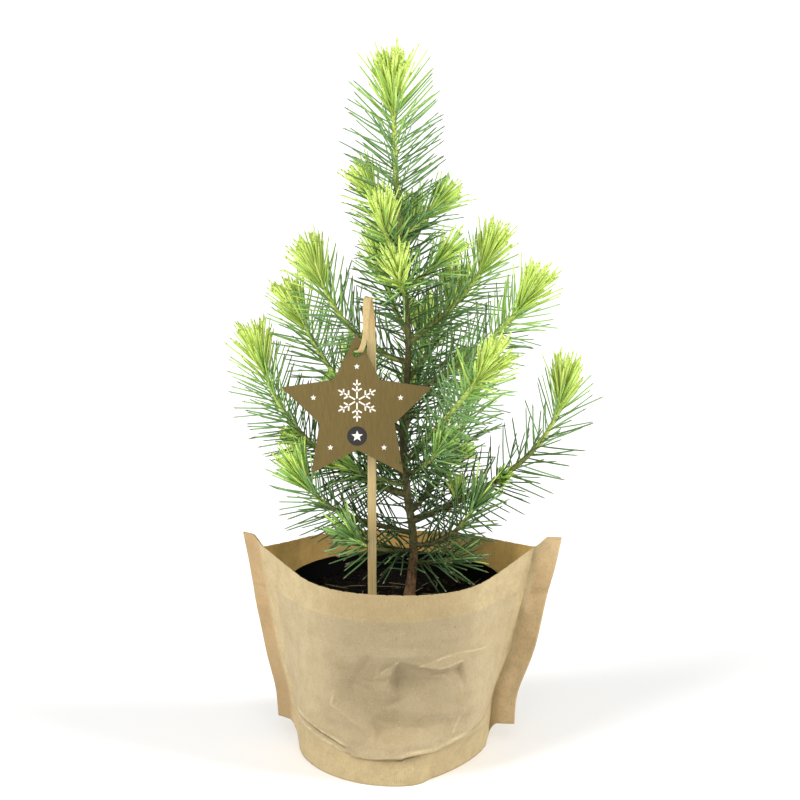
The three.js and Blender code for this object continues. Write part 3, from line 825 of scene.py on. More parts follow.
def deal_faces(builds, points, faces, ends, tone):
    """Adds a limb's faces to the builds that their tones number, each with the vertices that it uses.

    The cap at the tip goes to the youngest build, and the one at the foot to that of the first face.
    """
    for index, build in enumerate(builds):
        chosen = [faces[tone == index]]
        if index == 0:
            chosen.append(ends[1])
        if index == tone[0]:
            chosen.append(ends[0])
        if sum(len(c) for c in chosen):
            corners = np.concatenate([c.ravel() for c in chosen])
            used, renumbered = np.unique(corners, return_inverse=True)
            parts = np.split(renumbered, np.cumsum([c.size for c in chosen])[:-1])
            shaped = [p.reshape(c.shape) for p, c in zip(parts, chosen)]
            build.add(points.reshape(-1, 3)[used], *shaped)


# The ages at which bark passes from one tone to the next: distance from the tip over fresh growth.
TRUNK_BARK_AGES = (32, 58, 100, 186)
BOUGH_BARK_AGES = (30, 54, 82, 1000)


def make_bark(settings):
    """The trunk and every bough as tubes with relief, dealt out by age to five pieces."""
    rng = np.random.default_rng(settings.seed)
    builds = [Build() for _ in range(5)]
    for name, places, aim, reference, fresh in stems():
        radius, left, run = stem_radius(name, places)
        sides, rough, ages = (22, 0.16, TRUNK_BARK_AGES) if name == "trunk" else (12, 0.1, BOUGH_BARK_AGES)
        points = tube(places, aim, reference, bark_relief(radius, run, sides, rng, rough))
        faces = grid(len(places), sides, True)
        row, column = np.divmod(np.arange(len(faces)), sides)
        ragged = 3.5 * np.sin(column * 2.4 + row * 0.35) + rng.normal(0, 1.5, len(faces))
        age = left[row] / fresh + ragged * np.minimum(1, left[row] / 20)
        deal_faces(builds, points, faces, caps(len(places), sides), np.searchsorted(ages, age))
    twig, bark = tuple(settings.twig), tuple(settings.bark)
    for build, (name, title, skin, crack, scale, slot, nodes) in zip(builds, (
        ("twigs_fresh", "Fresh Twig", twig, 0.72, 700, "green_bark", ()),
        ("twigs_green", "Green Twig", blend(twig, bark, 0.42, 0.1), 0.55, 700, "green_bark", ()),
        ("boughs_old", "Old Bough", blend(twig, bark, 0.19, 0.24), 0.4, 650, "green_bark", BOUGH_NODES),
        ("stems_weathered", "Weathered Stem", blend(twig, bark, 0.1, 0.24), 0.4, 620, "green_bark", ()),
        ("trunk_bark", "Trunk Bark", bark, 0.3, 600, "bark", ["trunk"]),
    )):
        build.piece(name, bark_finish(title, skin, dim(skin, crack), scale), slot, nodes)


# ------------------------------------------------------------------ needles

# How far apart the needles of some stems stand, against the rest.
CROWDING = {
    "trunk": 0.78, "left_long": 0.74, "right_mid": 0.95, "right_long": 1.2, "back_crown": 1.7,
    "back_upper_right": 1.25, "back_upper_left": 1.25, "back_mid": 1.15, "right_foot": 1.5,
    "right_low": 1.2, "front_crown": 1.3, "left_crown": 1.12, "right_crown": 1.12,
}
TONES = ("lemon", "lime", "fresh", "leaf", "deep", "shade")
# The ages at which a grown needle passes from one tone to the next.
TONE_AGES = (2.5, 6.5, 17, 40, 85)
# A tuft starts one tone later for each of these that its stem's fresh growth doesn't pass.
TUFT_REACHES = (0.7, 0.5, 0.3, 0.15)
# The last tones have dry ends in a piece of their own.
FIRST_DRY_TONE = 3
# Rings along a needle as shares of its length, and their thickness against its middle's.
BODY_SHARES = (0, 0.1, 0.3, 0.56, 0.915)
BODY_SWELL = (0.6, 0.9, 1, 1, 0.85)
END_SHARES = (0.915, 0.965, 1)
END_SWELL = (0.85, 0.65, 0.16)
# How deep a tuft is at the tip of a stem, as the spread of a bell curve.
TUFT_DEPTH = 4.2
# How many needles the trunk's tuft and a side shoot's have, and how long a side shoot's are, as factors.
TRUNK_TUFT = 2.7
SIDE_TUFT = 0.4
SIDE_SIZE = 0.72
# How many degrees the lean opens away from the tip, within what distance, and how far a tuft fans out.
TRUNK_LEAN = (44, 9, 20)
BOUGH_LEAN = (38, 12, 21)
# The trunk's foot without needles.
BARE_TRUNK = 17.0
# Space kept free in front of the tag and the strip: a radius round the star's middle and a gap behind its
# board, then half a width round the strip, its depth and its top.
STAR_SPACE = (31, 0.6)
STRIP_SPACE = (3.2, -11.6, 216)


def needle_places(name, length, fresh, settings, rng):
    """Where the needles of one stem stand, as distances from its foot, and which of them are a tuft's.

    Grown needles stand a step apart, with some left out. A tuft's gather at the tip.
    """
    trunk = name == "trunk"
    spacing = settings.needle_spacing / MM * CROWDING.get(name, 1)
    grown = np.arange(BARE_TRUNK if trunk else min(0.1 * length, 6.0), length, spacing)
    grown = grown + rng.uniform(-0.5, 0.5, len(grown)) * spacing
    if trunk:
        lower = 0.52 * window(grown, 100, 130, 165, 185) + 0.1 * (1 - ramp(grown, 100, 150))
        thinned = np.maximum(0.5 * ramp(length - grown, 30, 85), lower)
    else:
        thinned = 0.2 * ramp(length, 80, 100)
    keep = rng.random(len(grown)) < 1 - thinned
    grown = np.clip(grown[keep], 0, length)

    count = settings.tuft_needles * (0.45 + 0.55 * min(1, length / 60)) * (0.25 + 0.75 * min(1, fresh))
    if name == "side":
        count = settings.tuft_needles * SIDE_TUFT
    if trunk:
        count *= TRUNK_TUFT
    tuft = length - np.abs(rng.normal(0, TUFT_DEPTH, int(count)))
    place = np.concatenate([grown, np.clip(tuft, 0, length)])
    return place, np.arange(len(place)) >= len(grown)


def needles_on(name, places, aim, reference, fresh, settings, rng):
    """The needles of one stem: arrays of base, direction, bend, length, width and tone.

    They sit a golden angle apart round the stem. The lean of grown needles from the stem's direction goes
    from some twenty degrees at its tip to some seventy at its foot. A tuft's fan out round the tip. All
    bend back towards the stem's direction.
    """
    radius, _, run = stem_radius(name, places)
    trunk = name == "trunk"
    length = run[-1]
    place, young = needle_places(name, length, fresh, settings, rng)
    count = len(place)
    to_tip = length - place

    turn = np.arange(count) * GOLDEN_ANGLE + rng.normal(0, 0.2, count)
    opening, reach, fan = TRUNK_LEAN if trunk else BOUGH_LEAN
    lean = 20 + opening * (1 - np.exp(-to_tip / reach)) + 12 * ramp(to_tip, 50, 150)
    lean = lean + rng.normal(0, 5, count)
    fanned = fan * np.sqrt(rng.random(count)) + np.abs(rng.normal(0, 3, count))
    lean = np.radians(np.where(young, 1.3 * to_tip + fanned, lean))
    stem = [np.interp(place, run, column) for column in (*places.T, *aim.T, radius)]
    origin, forward, thick = np.stack(stem[:3], 1), unit(np.stack(stem[3:6], 1)), stem[6]
    first, second = across(forward, reference)
    out = np.cos(turn)[:, None] * first + np.sin(turn)[:, None] * second
    direction = np.cos(lean)[:, None] * forward + np.sin(lean)[:, None] * out
    base = origin + out * (thick * 0.7)[:, None]
    wander = rng.normal(0, 0.03, (count, 3))
    bend = 0.10 * forward * np.sin(lean)[:, None] + wander
    bend[:, 2] -= np.where(young, 0.0, 0.03 + 0.05 * ramp(to_tip, 30, 120))

    vigour = 1.14 if trunk else 0.72 + 0.24 * min(1, length / 60)
    size = settings.needle_length / MM * vigour * (1 - 0.1 * np.abs(rng.normal(0, 1, count)))
    size *= np.where(young, 0.78 if trunk else 0.94, 1.0)
    size *= 1 - 0.18 * ramp(to_tip, 70, 170) - np.where(young, 0.2 * (lean / 0.8) ** 2, 0)
    size *= np.where(young, 1.03 - 0.26 * rng.random(count) ** 1.5, 1.0)
    if name == "side":
        size *= SIDE_SIZE
    width = settings.needle_width / MM * rng.uniform(0.85, 1.12, count)
    width = width * np.where(young, 1 + 0.42 * ramp(fresh, 0.1, 0.7), 1.0)

    # Painted shade: needles low in the crown count as older, so they take darker tones.
    shaded = 1.6 - 0.6 * ramp(origin[:, 2], 95, 175)
    age = to_tip / fresh * shaded * np.exp(rng.normal(0, 0.28, count))
    # Painted shade: half the young needles, at random, take the tone after their stem's newest, so lime is a
    # shaded copy of lemon.
    later = rng.random(count) >= 0.5
    newest = sum(fresh <= reach for reach in TUFT_REACHES)
    tone = np.where(young, newest + later, np.maximum(np.searchsorted(TONE_AGES, age), 1))
    return base, direction, bend, size, width, tone


def clear_of_tag(base, direction, bend, size):
    """True for the needles whose shaft and end stay out of the space in front of the tag and the pick."""
    low, high = np.array(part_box("star_tag")) / MM
    middle_x, _, middle_z = (low + high) / 2
    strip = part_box("bamboo_pick")[1][0] / MM - PICK_WIDTH / 2
    keep = np.ones(len(base), bool)
    for share in (0.45, 0.75, 1.0):
        x, y, z = (base + size[:, None] * (share * direction + share**2 * bend)).T
        behind_star = (y > high[1] + STAR_SPACE[1]) | (np.hypot(x - middle_x, z - middle_z) > STAR_SPACE[0])
        beside_strip = (np.abs(x - strip) > STRIP_SPACE[0]) | (y > STRIP_SPACE[1]) | (z > STRIP_SPACE[2])
        keep &= behind_star & beside_strip
    return keep


def make_needles(settings):
    """Every needle on the plant, as slender three-sided bodies, one piece for each tone and one for the dry
    ends of the grown ones."""
    rng = np.random.default_rng(settings.seed + 1)
    sprays = [needles_on(*stem, settings, rng) for stem in stems()]
    base, direction, bend, size, width, tone = (np.concatenate(column) for column in zip(*sprays))
    keep = clear_of_tag(base, direction, bend, size)
    ends = Build()
    for index, name in enumerate(TONES):
        chosen = keep & (tone == index)
        parts = [a[chosen] for a in (base, direction, bend, size, width)]
        build = add_spindles(Build(), spindles(*parts, BODY_SHARES, BODY_SWELL))
        add_spindles(build if index < FIRST_DRY_TONE else ends, spindles(*parts, END_SHARES, END_SWELL))
        finish = needle_finish(f"Needles {name.title()}", tuple(getattr(settings, name)))
        build.piece(f"needles_{name}", finish, "needles", MASS_NODES)
    ends.piece("needle_ends", needle_finish("Needle Ends", tuple(settings.ends)), "needles")


# ------------------------------------------------------------------ pot and soil

POT_BASE_RADIUS = 39
POT_HEIGHT = 86.9
POT_SLOPE = 0.1306
POT_BEADS = (24, 52)
RIM_RADIUS = 55
RIM_ROLL = 0.9
POT_SEGMENTS = 120


def make_pot(settings):
    """The pot: a profile turned round the axis, with a rolled rim, a band under it and two fine beads."""
    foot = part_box("nursery_pot")[0][2] / MM
    outside = [(0, 0), (POT_BASE_RADIUS - 1.5, 0), (POT_BASE_RADIUS - 0.4, 0.4), (POT_BASE_RADIUS, 1.4)]
    for height in np.linspace(4, 72, 30):
        bead = 0.35 * sum(bell(height, middle, 1.2) for middle in POT_BEADS)
        outside.append((POT_BASE_RADIUS + height * POT_SLOPE + bead, height))
    outside += [(48.9, 73.5), (51.4, 74.2), (51.8, 74.9), (53.0, 84.0), (53.6, 84.8), (54.6, 85.1)]
    roll = (RIM_RADIUS - RIM_ROLL, POT_HEIGHT - RIM_ROLL)
    outside += [polar(RIM_ROLL, turn, roll) for turn in np.linspace(-0.9, math.pi + 0.3, 12)]
    inside = [(52.3, 84.6), (50.6, 75.6), (48.2, 74.4), (47.4, 73.6), (37.9, 1.6), (36.8, 1.2), (0, 1.2)]
    profile = np.array(outside + inside)
    rings = turned(profile + [0, foot], POT_SEGMENTS)
    build = Build().add(rings, grid(len(profile), POT_SEGMENTS, True)[:, ::-1])
    build.piece("pot_shell", plastic_finish(tuple(settings.plastic)), "pot_plastic", ["nursery_pot"])


SOIL_SEED = 5
SOIL_LEVEL = 79.0
SOIL_RADIUS = 50.3
SOIL_SEGMENTS = 200
TRUNK_FOOT = TRUNK_LINE[0][0]


def soil_height(x, y, rng):
    """The soil's top: a slow swell, clods and fine crumbs as sums of waves, level at the trunk's foot."""
    swell = 0.7 * waves(x, y, rng, 6, 26, 50)
    clods = 0.5 * waves(x, y, rng, 14, 5, 11) + 0.32 * waves(x, y, rng, 20, 1.8, 4)
    clear = ramp(np.hypot(x - TRUNK_FOOT, y), 3, 12)
    return SOIL_LEVEL + swell * clear + clods * (0.4 + 0.6 * clear)


def on_soil(place, lift):
    """Places on the soil, lifted. The seed is the bed's, so that the waves are the same."""
    return np.column_stack([place, soil_height(*place.T, np.random.default_rng(SOIL_SEED)) + lift])


def scattered(rng, count, reach):
    """Places spread evenly over a disc: its radius times the root of a share, at any turn."""
    spot = reach * np.sqrt(rng.random(count))
    return np.stack(polar(spot, rng.uniform(0, math.tau, count)), 1)


def make_soil(settings):
    """The soil bed with crumbs, straws and dead needles lying on it."""
    rng = np.random.default_rng(SOIL_SEED)
    radius = np.concatenate([np.linspace(0.2, SOIL_RADIUS, 90), [50.6, 46.8, 37, 0.2]])[:, None]
    x, y = polar(radius, round_angles(SOIL_SEGMENTS)[None])
    z = soil_height(x, y, rng)
    z[-3:] = np.array([70, 6, 6])[:, None]
    build = Build().add(np.stack([x, y, z], -1), *closed_tube(len(radius), SOIL_SEGMENTS))
    soil, pale = tuple(settings.soil), srgb(66, 54, 42)
    build.piece("soil_bed", soil_finish("Soil", soil, pale), "soil", ["potting_soil"])

    place = scattered(rng, settings.crumbs, 49.6)
    place = place[np.hypot(place[:, 0] - TRUNK_FOOT, place[:, 1]) > 4]
    count = len(place)
    size = np.clip(np.exp(rng.normal(0.1, 0.45, count)), 0.5, 3.2)
    base = on_soil(place, -0.15 * size)
    aim = unit(rng.normal(0, 1, (count, 3)) * [1, 1, 0.6])
    bodies = spindles(
        base - aim * size[:, None] / 2, aim, rng.normal(0, 0.15, (count, 3)), size,
        size * rng.uniform(0.6, 1.0, count), (0, 0.3, 0.7, 1), (0.35, 1, 0.9, 0.3), 6,
    )
    bodies += rng.normal(0, 0.09, bodies.shape) * size[:, None, None, None]
    dark = rng.random(count) < 0.86
    crumb = soil_finish("Peat Crumb", soil, pale)
    light = soil_finish("Bark Crumb", srgb(74, 54, 38), srgb(120, 96, 70))
    add_spindles(Build(), bodies[dark]).piece("soil_crumbs", crumb, "soil", smooth=False)
    add_spindles(Build(), bodies[~dark]).piece("soil_bark_crumbs", light, "soil", smooth=False)

    count = settings.fibres
    place = scattered(rng, count, 47)
    way = rng.uniform(0, math.tau, count)
    aim = np.stack([np.cos(way), np.sin(way), rng.uniform(-0.05, 0.25, count)], 1)
    inward = -np.column_stack([place, np.zeros(count)]) / 50
    straws = spindles(
        on_soil(place, 0.7), unit(aim + inward * 0.7), rng.normal(0, 0.2, (count, 3)) * [1, 1, 0.3],
        rng.uniform(5, 20, count), rng.uniform(0.35, 0.7, count),
        np.linspace(0, 1, 8), (0.6, 1, 1, 1, 1, 0.9, 0.7, 0.3), 5,
    )
    straw = fibre_finish("Straw", srgb(120, 108, 66))
    add_spindles(Build(), straws).piece("soil_straws", straw, "soil")


# ------------------------------------------------------------------ the paper bag

BAG_HEIGHT = 98
MOUTH_RADIUS = 55.9
# The seams' distance from the axis on the left and on the right, at the mouth and at the foot.
SEAM_AT_MOUTH = (65.4, 68.6)
SEAM_AT_FOOT = (49.4, 46.9)
FOOT_DEPTH = 57
SEAM_RISE = 8
# A fin's width, how far it turns from straight out on the left and on the right, how far its top rises
# over the seam's, how high its lower end is, and how wide the notch under it is.
FIN_WIDTH = 13.4
FIN_TURN = (42, -14)
FIN_TOP_RISE = 5.5
FIN_FOOT = 12
NOTCH_WIDTH = 5
FIN_SEED = 3
BAG_SEED = 21
HEM = 13.4
# Half a panel's width between its fins, laid flat, and the plain strip along each seam.
HALF_PANEL = 88
SEAM_STRIP = 5.5
# The gusset's seal across the front: distance from the middle, and height.
SEAL_LINE = ((-60, 34), (-50, 29), (-42, 25), (-33, 21.5), (-24, 18.2), (-20, 16.2), (3, 16.2),
             (5, 17.2), (18, 20.3), (30, 23.6), (38, 26), (60, 33))
# The crumpled front: spots, as place across, height and lift, and the folds that run between them.
SPOTS = [
    (-52, 72, 0), (-30, 71, 0), (-8, 72, 0), (14, 71, 0), (34, 72, 0), (54, 68, 0), (54, 44, 0), (50, 28, 0),
    (-52, 46, 0), (-48, 28, 0), (-21, 17.5, 0), (1, 18.5, 0), (18, 21, 0), (33, 25, 0),
    (-31, 62, 1.1), (-28.5, 48, 1.5), (-29.5, 41, 1.9), (-17, 32, 1.3), (-20, 29.4, 0.7), (-10, 20.4, 0.0),
    (2, 65, 1.1), (-3, 56, 2.0), (-3.8, 51.7, 2.1), (2, 42, -0.3), (0.6, 57, -0.4), (0, 50.5, -0.6),
    (4.3, 38.8, 0.9), (-11, 54, 0.5), (-13, 45, 0), (-20, 63.6, 0.9), (-16, 60, 0.1), (12, 61.4, 1.0),
    (24, 65, 0.1), (33, 65.8, 0.3), (44, 64, 0.4), (21, 59.7, 1.9), (31, 62.4, 2.0), (20, 56.5, -0.1),
    (30, 58, 0.2), (33, 48, 1.5), (32, 38, 1.7), (27.5, 27, 0.6), (14, 47, -0.6), (16, 36, 1.1),
    (-6, 38, 0.6), (-12, 33, -0.3), (6, 28, 0.3), (14, 23.5, 0.2), (-22, 52, -0.4), (-21, 43, -0.5),
]
FOLDS = [
    (14, 15), (15, 16), (16, 17), (17, 18), (18, 19), (19, 47), (47, 41), (20, 21), (21, 22), (20, 24),
    (24, 25), (25, 23), (23, 26), (20, 27), (31, 32), (32, 33), (33, 34), (31, 35), (35, 36), (36, 33),
    (36, 39), (39, 40), (40, 41), (26, 43), (14, 29), (37, 38), (26, 44), (44, 45), (43, 46),
]
WORN_FOLDS = [
    (16, 17), (15, 16), (20, 21), (21, 22), (20, 27), (35, 36), (32, 33), (33, 34), (40, 41), (31, 32),
]
# How high the welts over the seal, the crumples, the small creases and the slow waves stand.
WELT_HEIGHT = 2.2
CRUMPLE_HEIGHT = 1.9
CREASE_HEIGHT = 1.2
WAVE_HEIGHT = 0.35
# The two welts' middles over the seal, and how worn the folds of the front and of the back are.
WELTS = (1.3, 4.0)
FRONT_WEAR = 0.7
BACK_WEAR = 0.3
# The small creases: how many, and the least and the greatest of place, length, height and width.
SMALL_CREASES = 46
CREASE_RANGES = (((-30, 22), (34, 64)), (4, 14), (-0.3, 0.4), (1.0, 2.0))


def crumple(side):
    """The spots of one side's crumples and the lines of its worn folds. The back's are lower and lie the
    other way up."""
    spots = SPOTS if side < 0 else [(3 - 0.9 * x, 84 - 0.9 * z, 0.7 * lift) for x, z, lift in SPOTS]
    return spots, [(*spots[a][:2], *spots[b][:2]) for a, b in WORN_FOLDS]


def small_creases(rng):
    """Short creases at random, as lines for ridges."""
    corners, length, height, width = CREASE_RANGES
    start = rng.uniform(*corners, (SMALL_CREASES, 2))
    turn = rng.uniform(0, math.tau, SMALL_CREASES)
    end = polar(rng.uniform(*length, SMALL_CREASES), turn, start.T)
    return np.column_stack([start, *end, *(rng.uniform(*span, SMALL_CREASES) for span in (height, width))])


def section(angle, height):
    """The bag's inside in plan, as a radius in a direction at a height.

    The foot is an oval, drawn in at the right of its front. The mouth is a circle round the pot's rim with
    straight runs to the seams. Above the seal the section is squarer: a superellipse, whose power is largest
    from a quarter to half of the way up. The seams are pinched in at about a quarter.
    """
    side = (np.cos(angle) > 0).astype(int)
    share = height / BAG_HEIGHT
    width = np.array(SEAM_AT_FOOT)[side]
    seam = np.array(SEAM_AT_MOUTH)[side]
    power = 1.9 + 0.75 * window(height, 14, 24, 48, 92)
    power = power - 0.45 * (1 - ramp(height, 6, 24)) * (np.sin(angle) < 0) * ramp(np.cos(angle), 0.12, 0.35)
    c, s = np.abs(np.cos(angle)) / width, np.abs(np.sin(angle)) / FOOT_DEPTH
    foot = (c**power + s**power) ** (-1 / power)
    from_middle = np.arctan2(np.abs(np.cos(angle)), np.abs(np.sin(angle)))
    wrapped = np.pi / 2 - np.arccos(MOUTH_RADIUS / seam)
    mouth = MOUTH_RADIUS / np.cos(np.maximum(0, from_middle - wrapped))
    pinch = np.array([1.8, 3.0])[side] * bell(height, 28, 15) * np.abs(np.cos(angle)) ** 4
    return foot + (mouth - foot) * share - pinch


def pressed_flat(x, height, depth, foremost, most, side):
    """How far a panel is pressed in where the round wall stands beyond three tilted planes.

    The planes lie by most behind the foremost line. The one furthest out holds, so that their borders are
    sharp, and they fade at their upper and lower ends.
    """
    lean = np.stack([0.07 * (x + 4), -0.05 * (x - 4), 0.02 * x + 0.09 * (height - 50)])
    if side > 0:
        lean = lean * 0.8
    foot = np.interp(-side * x, (-33, -17, -10, 14, 28, 33), (44, 32, 21, 23, 27, 40))
    reach = np.clip(np.minimum((67 - height) / 14, (height - foot) / 6), 0, 1)
    return np.maximum(0, depth - (foremost - most + lean.max(0))) * reach


def sheet_heights(side, body, on_fin, seal):
    """The height of each place of a panel, and True for the rows above the seal.

    Each column rises from its own lower to its own upper end. Two rows lie on the seal, so that the step
    there is sharp. The hem's edge has small nicks.
    """
    foot = FIN_FOOT * np.sqrt(1 - (1 - np.clip(on_fin / NOTCH_WIDTH, 0, 1)) ** 2)
    nicks = 0.3 * bell((body * HALF_PANEL) % 7.4, 3.7, 0.5) * (on_fin == 0)
    rise = np.where(body < 0, 2.6, 4.0) if side < 0 else 2.0
    edge = BAG_HEIGHT - 0.5 if side < 0 else BAG_HEIGHT + 1.2
    top = edge + (BAG_HEIGHT + SEAM_RISE - edge) * np.abs(body) ** rise
    top = top + FIN_TOP_RISE * ramp(on_fin, 0, FIN_WIDTH / 2)
    top = top - nicks - 0.6 * np.sin(body * 5 + side) * (1 - np.abs(body))
    under = np.concatenate([np.linspace(0, 0.84, 18), np.linspace(0.87, 1, 12)])[:, None]
    above = np.concatenate([[0, 0.006, 0.013], np.linspace(0.02, 0.985, 128), [0.99, 0.995, 1]])[:, None]
    height = np.vstack([foot + (seal - foot) * under, seal + 0.15 + (top - seal - 0.15) * above])
    return height, (np.arange(len(height)) >= len(under))[:, None]


def plain_sheet(side, shares, on_fin, angle, height):
    """A panel without relief: the section's wall, and fins that turn, wave and fold over at the hem."""
    left = shares < 0
    turn = np.radians(np.where(left, *FIN_TURN))
    radius = section(angle, height)
    depth = -radius * np.sin(angle)
    x = radius * np.cos(angle) + np.where(left, -1, 1) * on_fin * np.cos(turn)
    wobble = 1.3 * waves(height, on_fin + left * 40, np.random.default_rng(FIN_SEED), 6, 24, 60)
    hem = BAG_HEIGHT - HEM
    fold = ridges(on_fin, height, [(0, hem, 14, hem - 1.5, 0.9, 1.2)])
    y = side * (depth + 0.03) + on_fin * np.sin(turn) + (wobble + fold) * ramp(on_fin, 0, 5)
    base = np.stack([x, y, height + 0 * x], -1)
    # The bend from the wall into a fin is rounded by averaging the columns beside it.
    seam = np.abs(np.abs(shares[0]) - 1) < 0.035
    for _ in range(6):
        middle = (base[:, :-2] + base[:, 2:]) / 2
        base[:, 1:-1][:, seam[1:-1]] = middle[:, seam[1:-1]]
    return base, x, y, depth


def panel(side, settings, rng):
    """One panel of the bag with its half of both fins: outer and inner places, and the finish's two values.

    Columns run from the left fin's edge, at -2, over the seams at -1 and 1, to the right fin's edge at 2.
    Relief moves a place square to the sheet.
    """
    fin = np.concatenate([np.linspace(2, 1.12, 14), [1.08, 1.05, 1.025]])
    shares = np.concatenate([-fin, np.linspace(-1, 1, 241), fin[::-1]])[None]
    on_fin = np.maximum(0, np.abs(shares) - 1) * FIN_WIDTH
    body = np.clip(shares, -1, 1)
    angle = body * math.pi / 2 - math.pi / 2
    mirror = -side
    seal = np.interp(section(angle, 20.0) * np.cos(angle) * mirror, *np.array(SEAL_LINE).T)
    height, upper = sheet_heights(side, body, on_fin, seal)
    base, x, y, depth = plain_sheet(side, shares, on_fin, angle, height)

    over = height - seal
    hem = height - (BAG_HEIGHT - HEM)
    flat_x = x * mirror
    on_body = ramp(1 - np.abs(body), 0, 0.05)
    on_right = window(flat_x, -2, 6, 30, 40)
    in_middle = ramp(flat_x, -24, -18) * (1 - on_right)
    on_left = window(flat_x, -50, -44, -26, -20)

    foremost = section(-math.pi / 2, height)
    relief = -pressed_flat(flat_x, height, depth, foremost, settings.facet / MM, side)
    fade = (1 - 0.9 * ramp(flat_x, 32, 42)) * (1 - 0.5 * ramp(-flat_x, 22, 30))
    lip = 1.3 * np.exp(-over / 7) + 0.6 * on_right * np.exp(-over / 1.2)
    tuck = 0.7 * np.exp(over / 3.5) + (0.5 + 0.3 * on_right) * np.exp(over / 1.2)
    relief = relief + settings.seal_step / MM * fade * np.where(upper, lip, -tuck)
    lower_welt, upper_welt = (bell(over, welt, 0.75) for welt in WELTS)
    relief = relief + WELT_HEIGHT * on_left * (lower_welt + 0.8 * upper_welt)
    spots, worn_folds = crumple(side)
    relief = relief + CRUMPLE_HEIGHT * folded(flat_x, height, spots, FOLDS)
    relief = relief + CREASE_HEIGHT * ridges(flat_x, height, small_creases(rng))
    relief = relief + WAVE_HEIGHT * waves(x, height, rng, 10, 9, 30)
    relief = relief * (1 - 0.8 * ramp(hem, -6, 2)) - 0.12 * window(hem, -0.4, 0.2, 0.2, 3)
    relief = relief * on_body * ramp(height, -1, 7)

    way = normals(base)
    way = way * np.sign(np.sum(way * np.stack([x, y, 0 * x], -1), -1, keepdims=True).mean())
    inner = base + way * relief[..., None]
    lap = np.where(upper, -1.3 * np.exp(-over / 5), 0.9 * np.exp(over / 4))
    inner[..., 2] += lap * on_body * fade
    outer = inner + way * settings.sheet / MM

    margin = (1 - np.abs(body)) * HALF_PANEL - SEAM_STRIP
    lined = np.maximum(np.minimum(np.minimum(-hem, over - 0.3), margin), -5) - on_fin
    worn = (FRONT_WEAR if side < 0 else BACK_WEAR) * traced(flat_x, height, worn_folds, 0.6) * upper
    # Painted highlights on the left welts' crests, with painted shade in the groove between them.
    welts = np.maximum(*(bell(over, welt, 0.7) for welt in WELTS)) - 0.9 * bell(over, 2.7, 0.6)
    # Painted shadow under the seal's overhang.
    shadow = bell(over, -3.2, 1.0) * ~upper * (on_right + 0.45 * in_middle + 0.3 * on_left)
    # A painted highlight along the seal's lip on the right, and the painted shadow taken away.
    worn = worn + on_left * welts - shadow + 0.8 * on_right * bell(over, 1.2, 0.8) * upper
    return outer, inner, lined, worn * on_body


def make_bag(settings):
    """Both panels and the gusset. A panel's outer and inner faces have their own finish."""
    rng = np.random.default_rng(BAG_SEED)
    kraft = kraft_finish("Kraft Paper", tuple(settings.kraft), tuple(settings.lined), tuple(settings.fins))
    # The inner face's finish: its colour is painted brighter, as painted light.
    inside = kraft_finish("Kraft Inside", *[tuple(settings.inside)] * 3)
    for side, name in ((-1, "bag_front"), (1, "bag_back")):
        # The back's columns are taken the other way, so that its faces look outwards as the front's do.
        outer, inner, lined, worn = (part[:, ::-side] for part in panel(side, settings, rng))
        front, back, edge = shell(*outer.shape[:2])
        points = np.vstack([outer.reshape(-1, 3), inner.reshape(-1, 3)])
        build = Build().add(points, front, back, edge, value=np.tile(lined.ravel(), 2))
        piece = build.piece(name, kraft, "kraft_paper", [f"{name}_panel"], value_name="lined")
        mesh = piece.data
        mesh.attributes.new("worn", "FLOAT", "POINT").data.foreach_set("value", np.tile(worn.ravel(), 2))
        mesh.materials.append(inside)
        which = np.zeros(len(mesh.polygons), np.int32)
        which[len(front):len(front) + len(back)] = 1
        mesh.polygons.foreach_set("material_index", which)
    make_gusset(settings, kraft)


def make_gusset(settings, kraft):
    """The bag's floor, with rays and three folds pressed into it, and the low wall round it."""
    floor_rings, sides = 60, 180
    shares = np.concatenate([np.linspace(0.01, 1, floor_rings), np.ones(4)])[:, None]
    lift = np.concatenate([np.zeros(floor_rings), [2.0, 5.0, 9.0, 13.0]])[:, None]
    angle = round_angles(sides)[None]
    x, y = polar(shares * (section(angle, lift) - 0.9), angle)
    fold = 0.5 * np.exp(-np.abs(y) / 1.2) + 0.25 * np.exp(-np.abs(np.abs(y) - 26))
    rays = 0.25 * (1 + np.sin(angle * 11 + 2 * np.sin(angle * 3))) * ramp(shares, 0.3, 0.9)
    z = lift + (fold + rays) * (1 - ramp(shares, 0.9, 0.99)) * (lift == 0)
    thick = settings.sheet / MM
    over = np.stack([x * (1 - thick / 50), y * (1 - thick / 50), z + thick], -1)
    both = np.concatenate([np.stack([x, y, z], -1), over[::-1]])
    build = Build().add(both, *[face[:, ::-1] for face in closed_tube(len(both), sides)], value=-5)
    build.piece("bag_floor", kraft, "kraft_paper", ["bag_gusset"], value_name="lined")


# ------------------------------------------------------------------ the pick and the star tag

STAR_OUTER = 38.8
STAR_INNER = 19.4
HOLE_HEIGHT = 29.3
HOLE_RADIUS = 2.35
PICK_LINE = [
    (-11.5, -13, 45), (-11.5, -13, 130), (-11.5, -13, 215), (-12.1, -13.4, 228.8), (-13.2, -16.6, 236.8),
    (-14, -20.4, 229.8), (-14.7, -23, 217.8), (-16.7, -22.4, 211.7), (-18.7, -19.6, 210.9),
    (-19.6, -16.6, 210.8),
]
PICK_WIDTH = 4.4
PICK_DEPTH = 1.6
# Where the strip's node is, and where it gets thinner for the hook, as distances from its foot.
PICK_NODE = 96
SHOULDER = 170


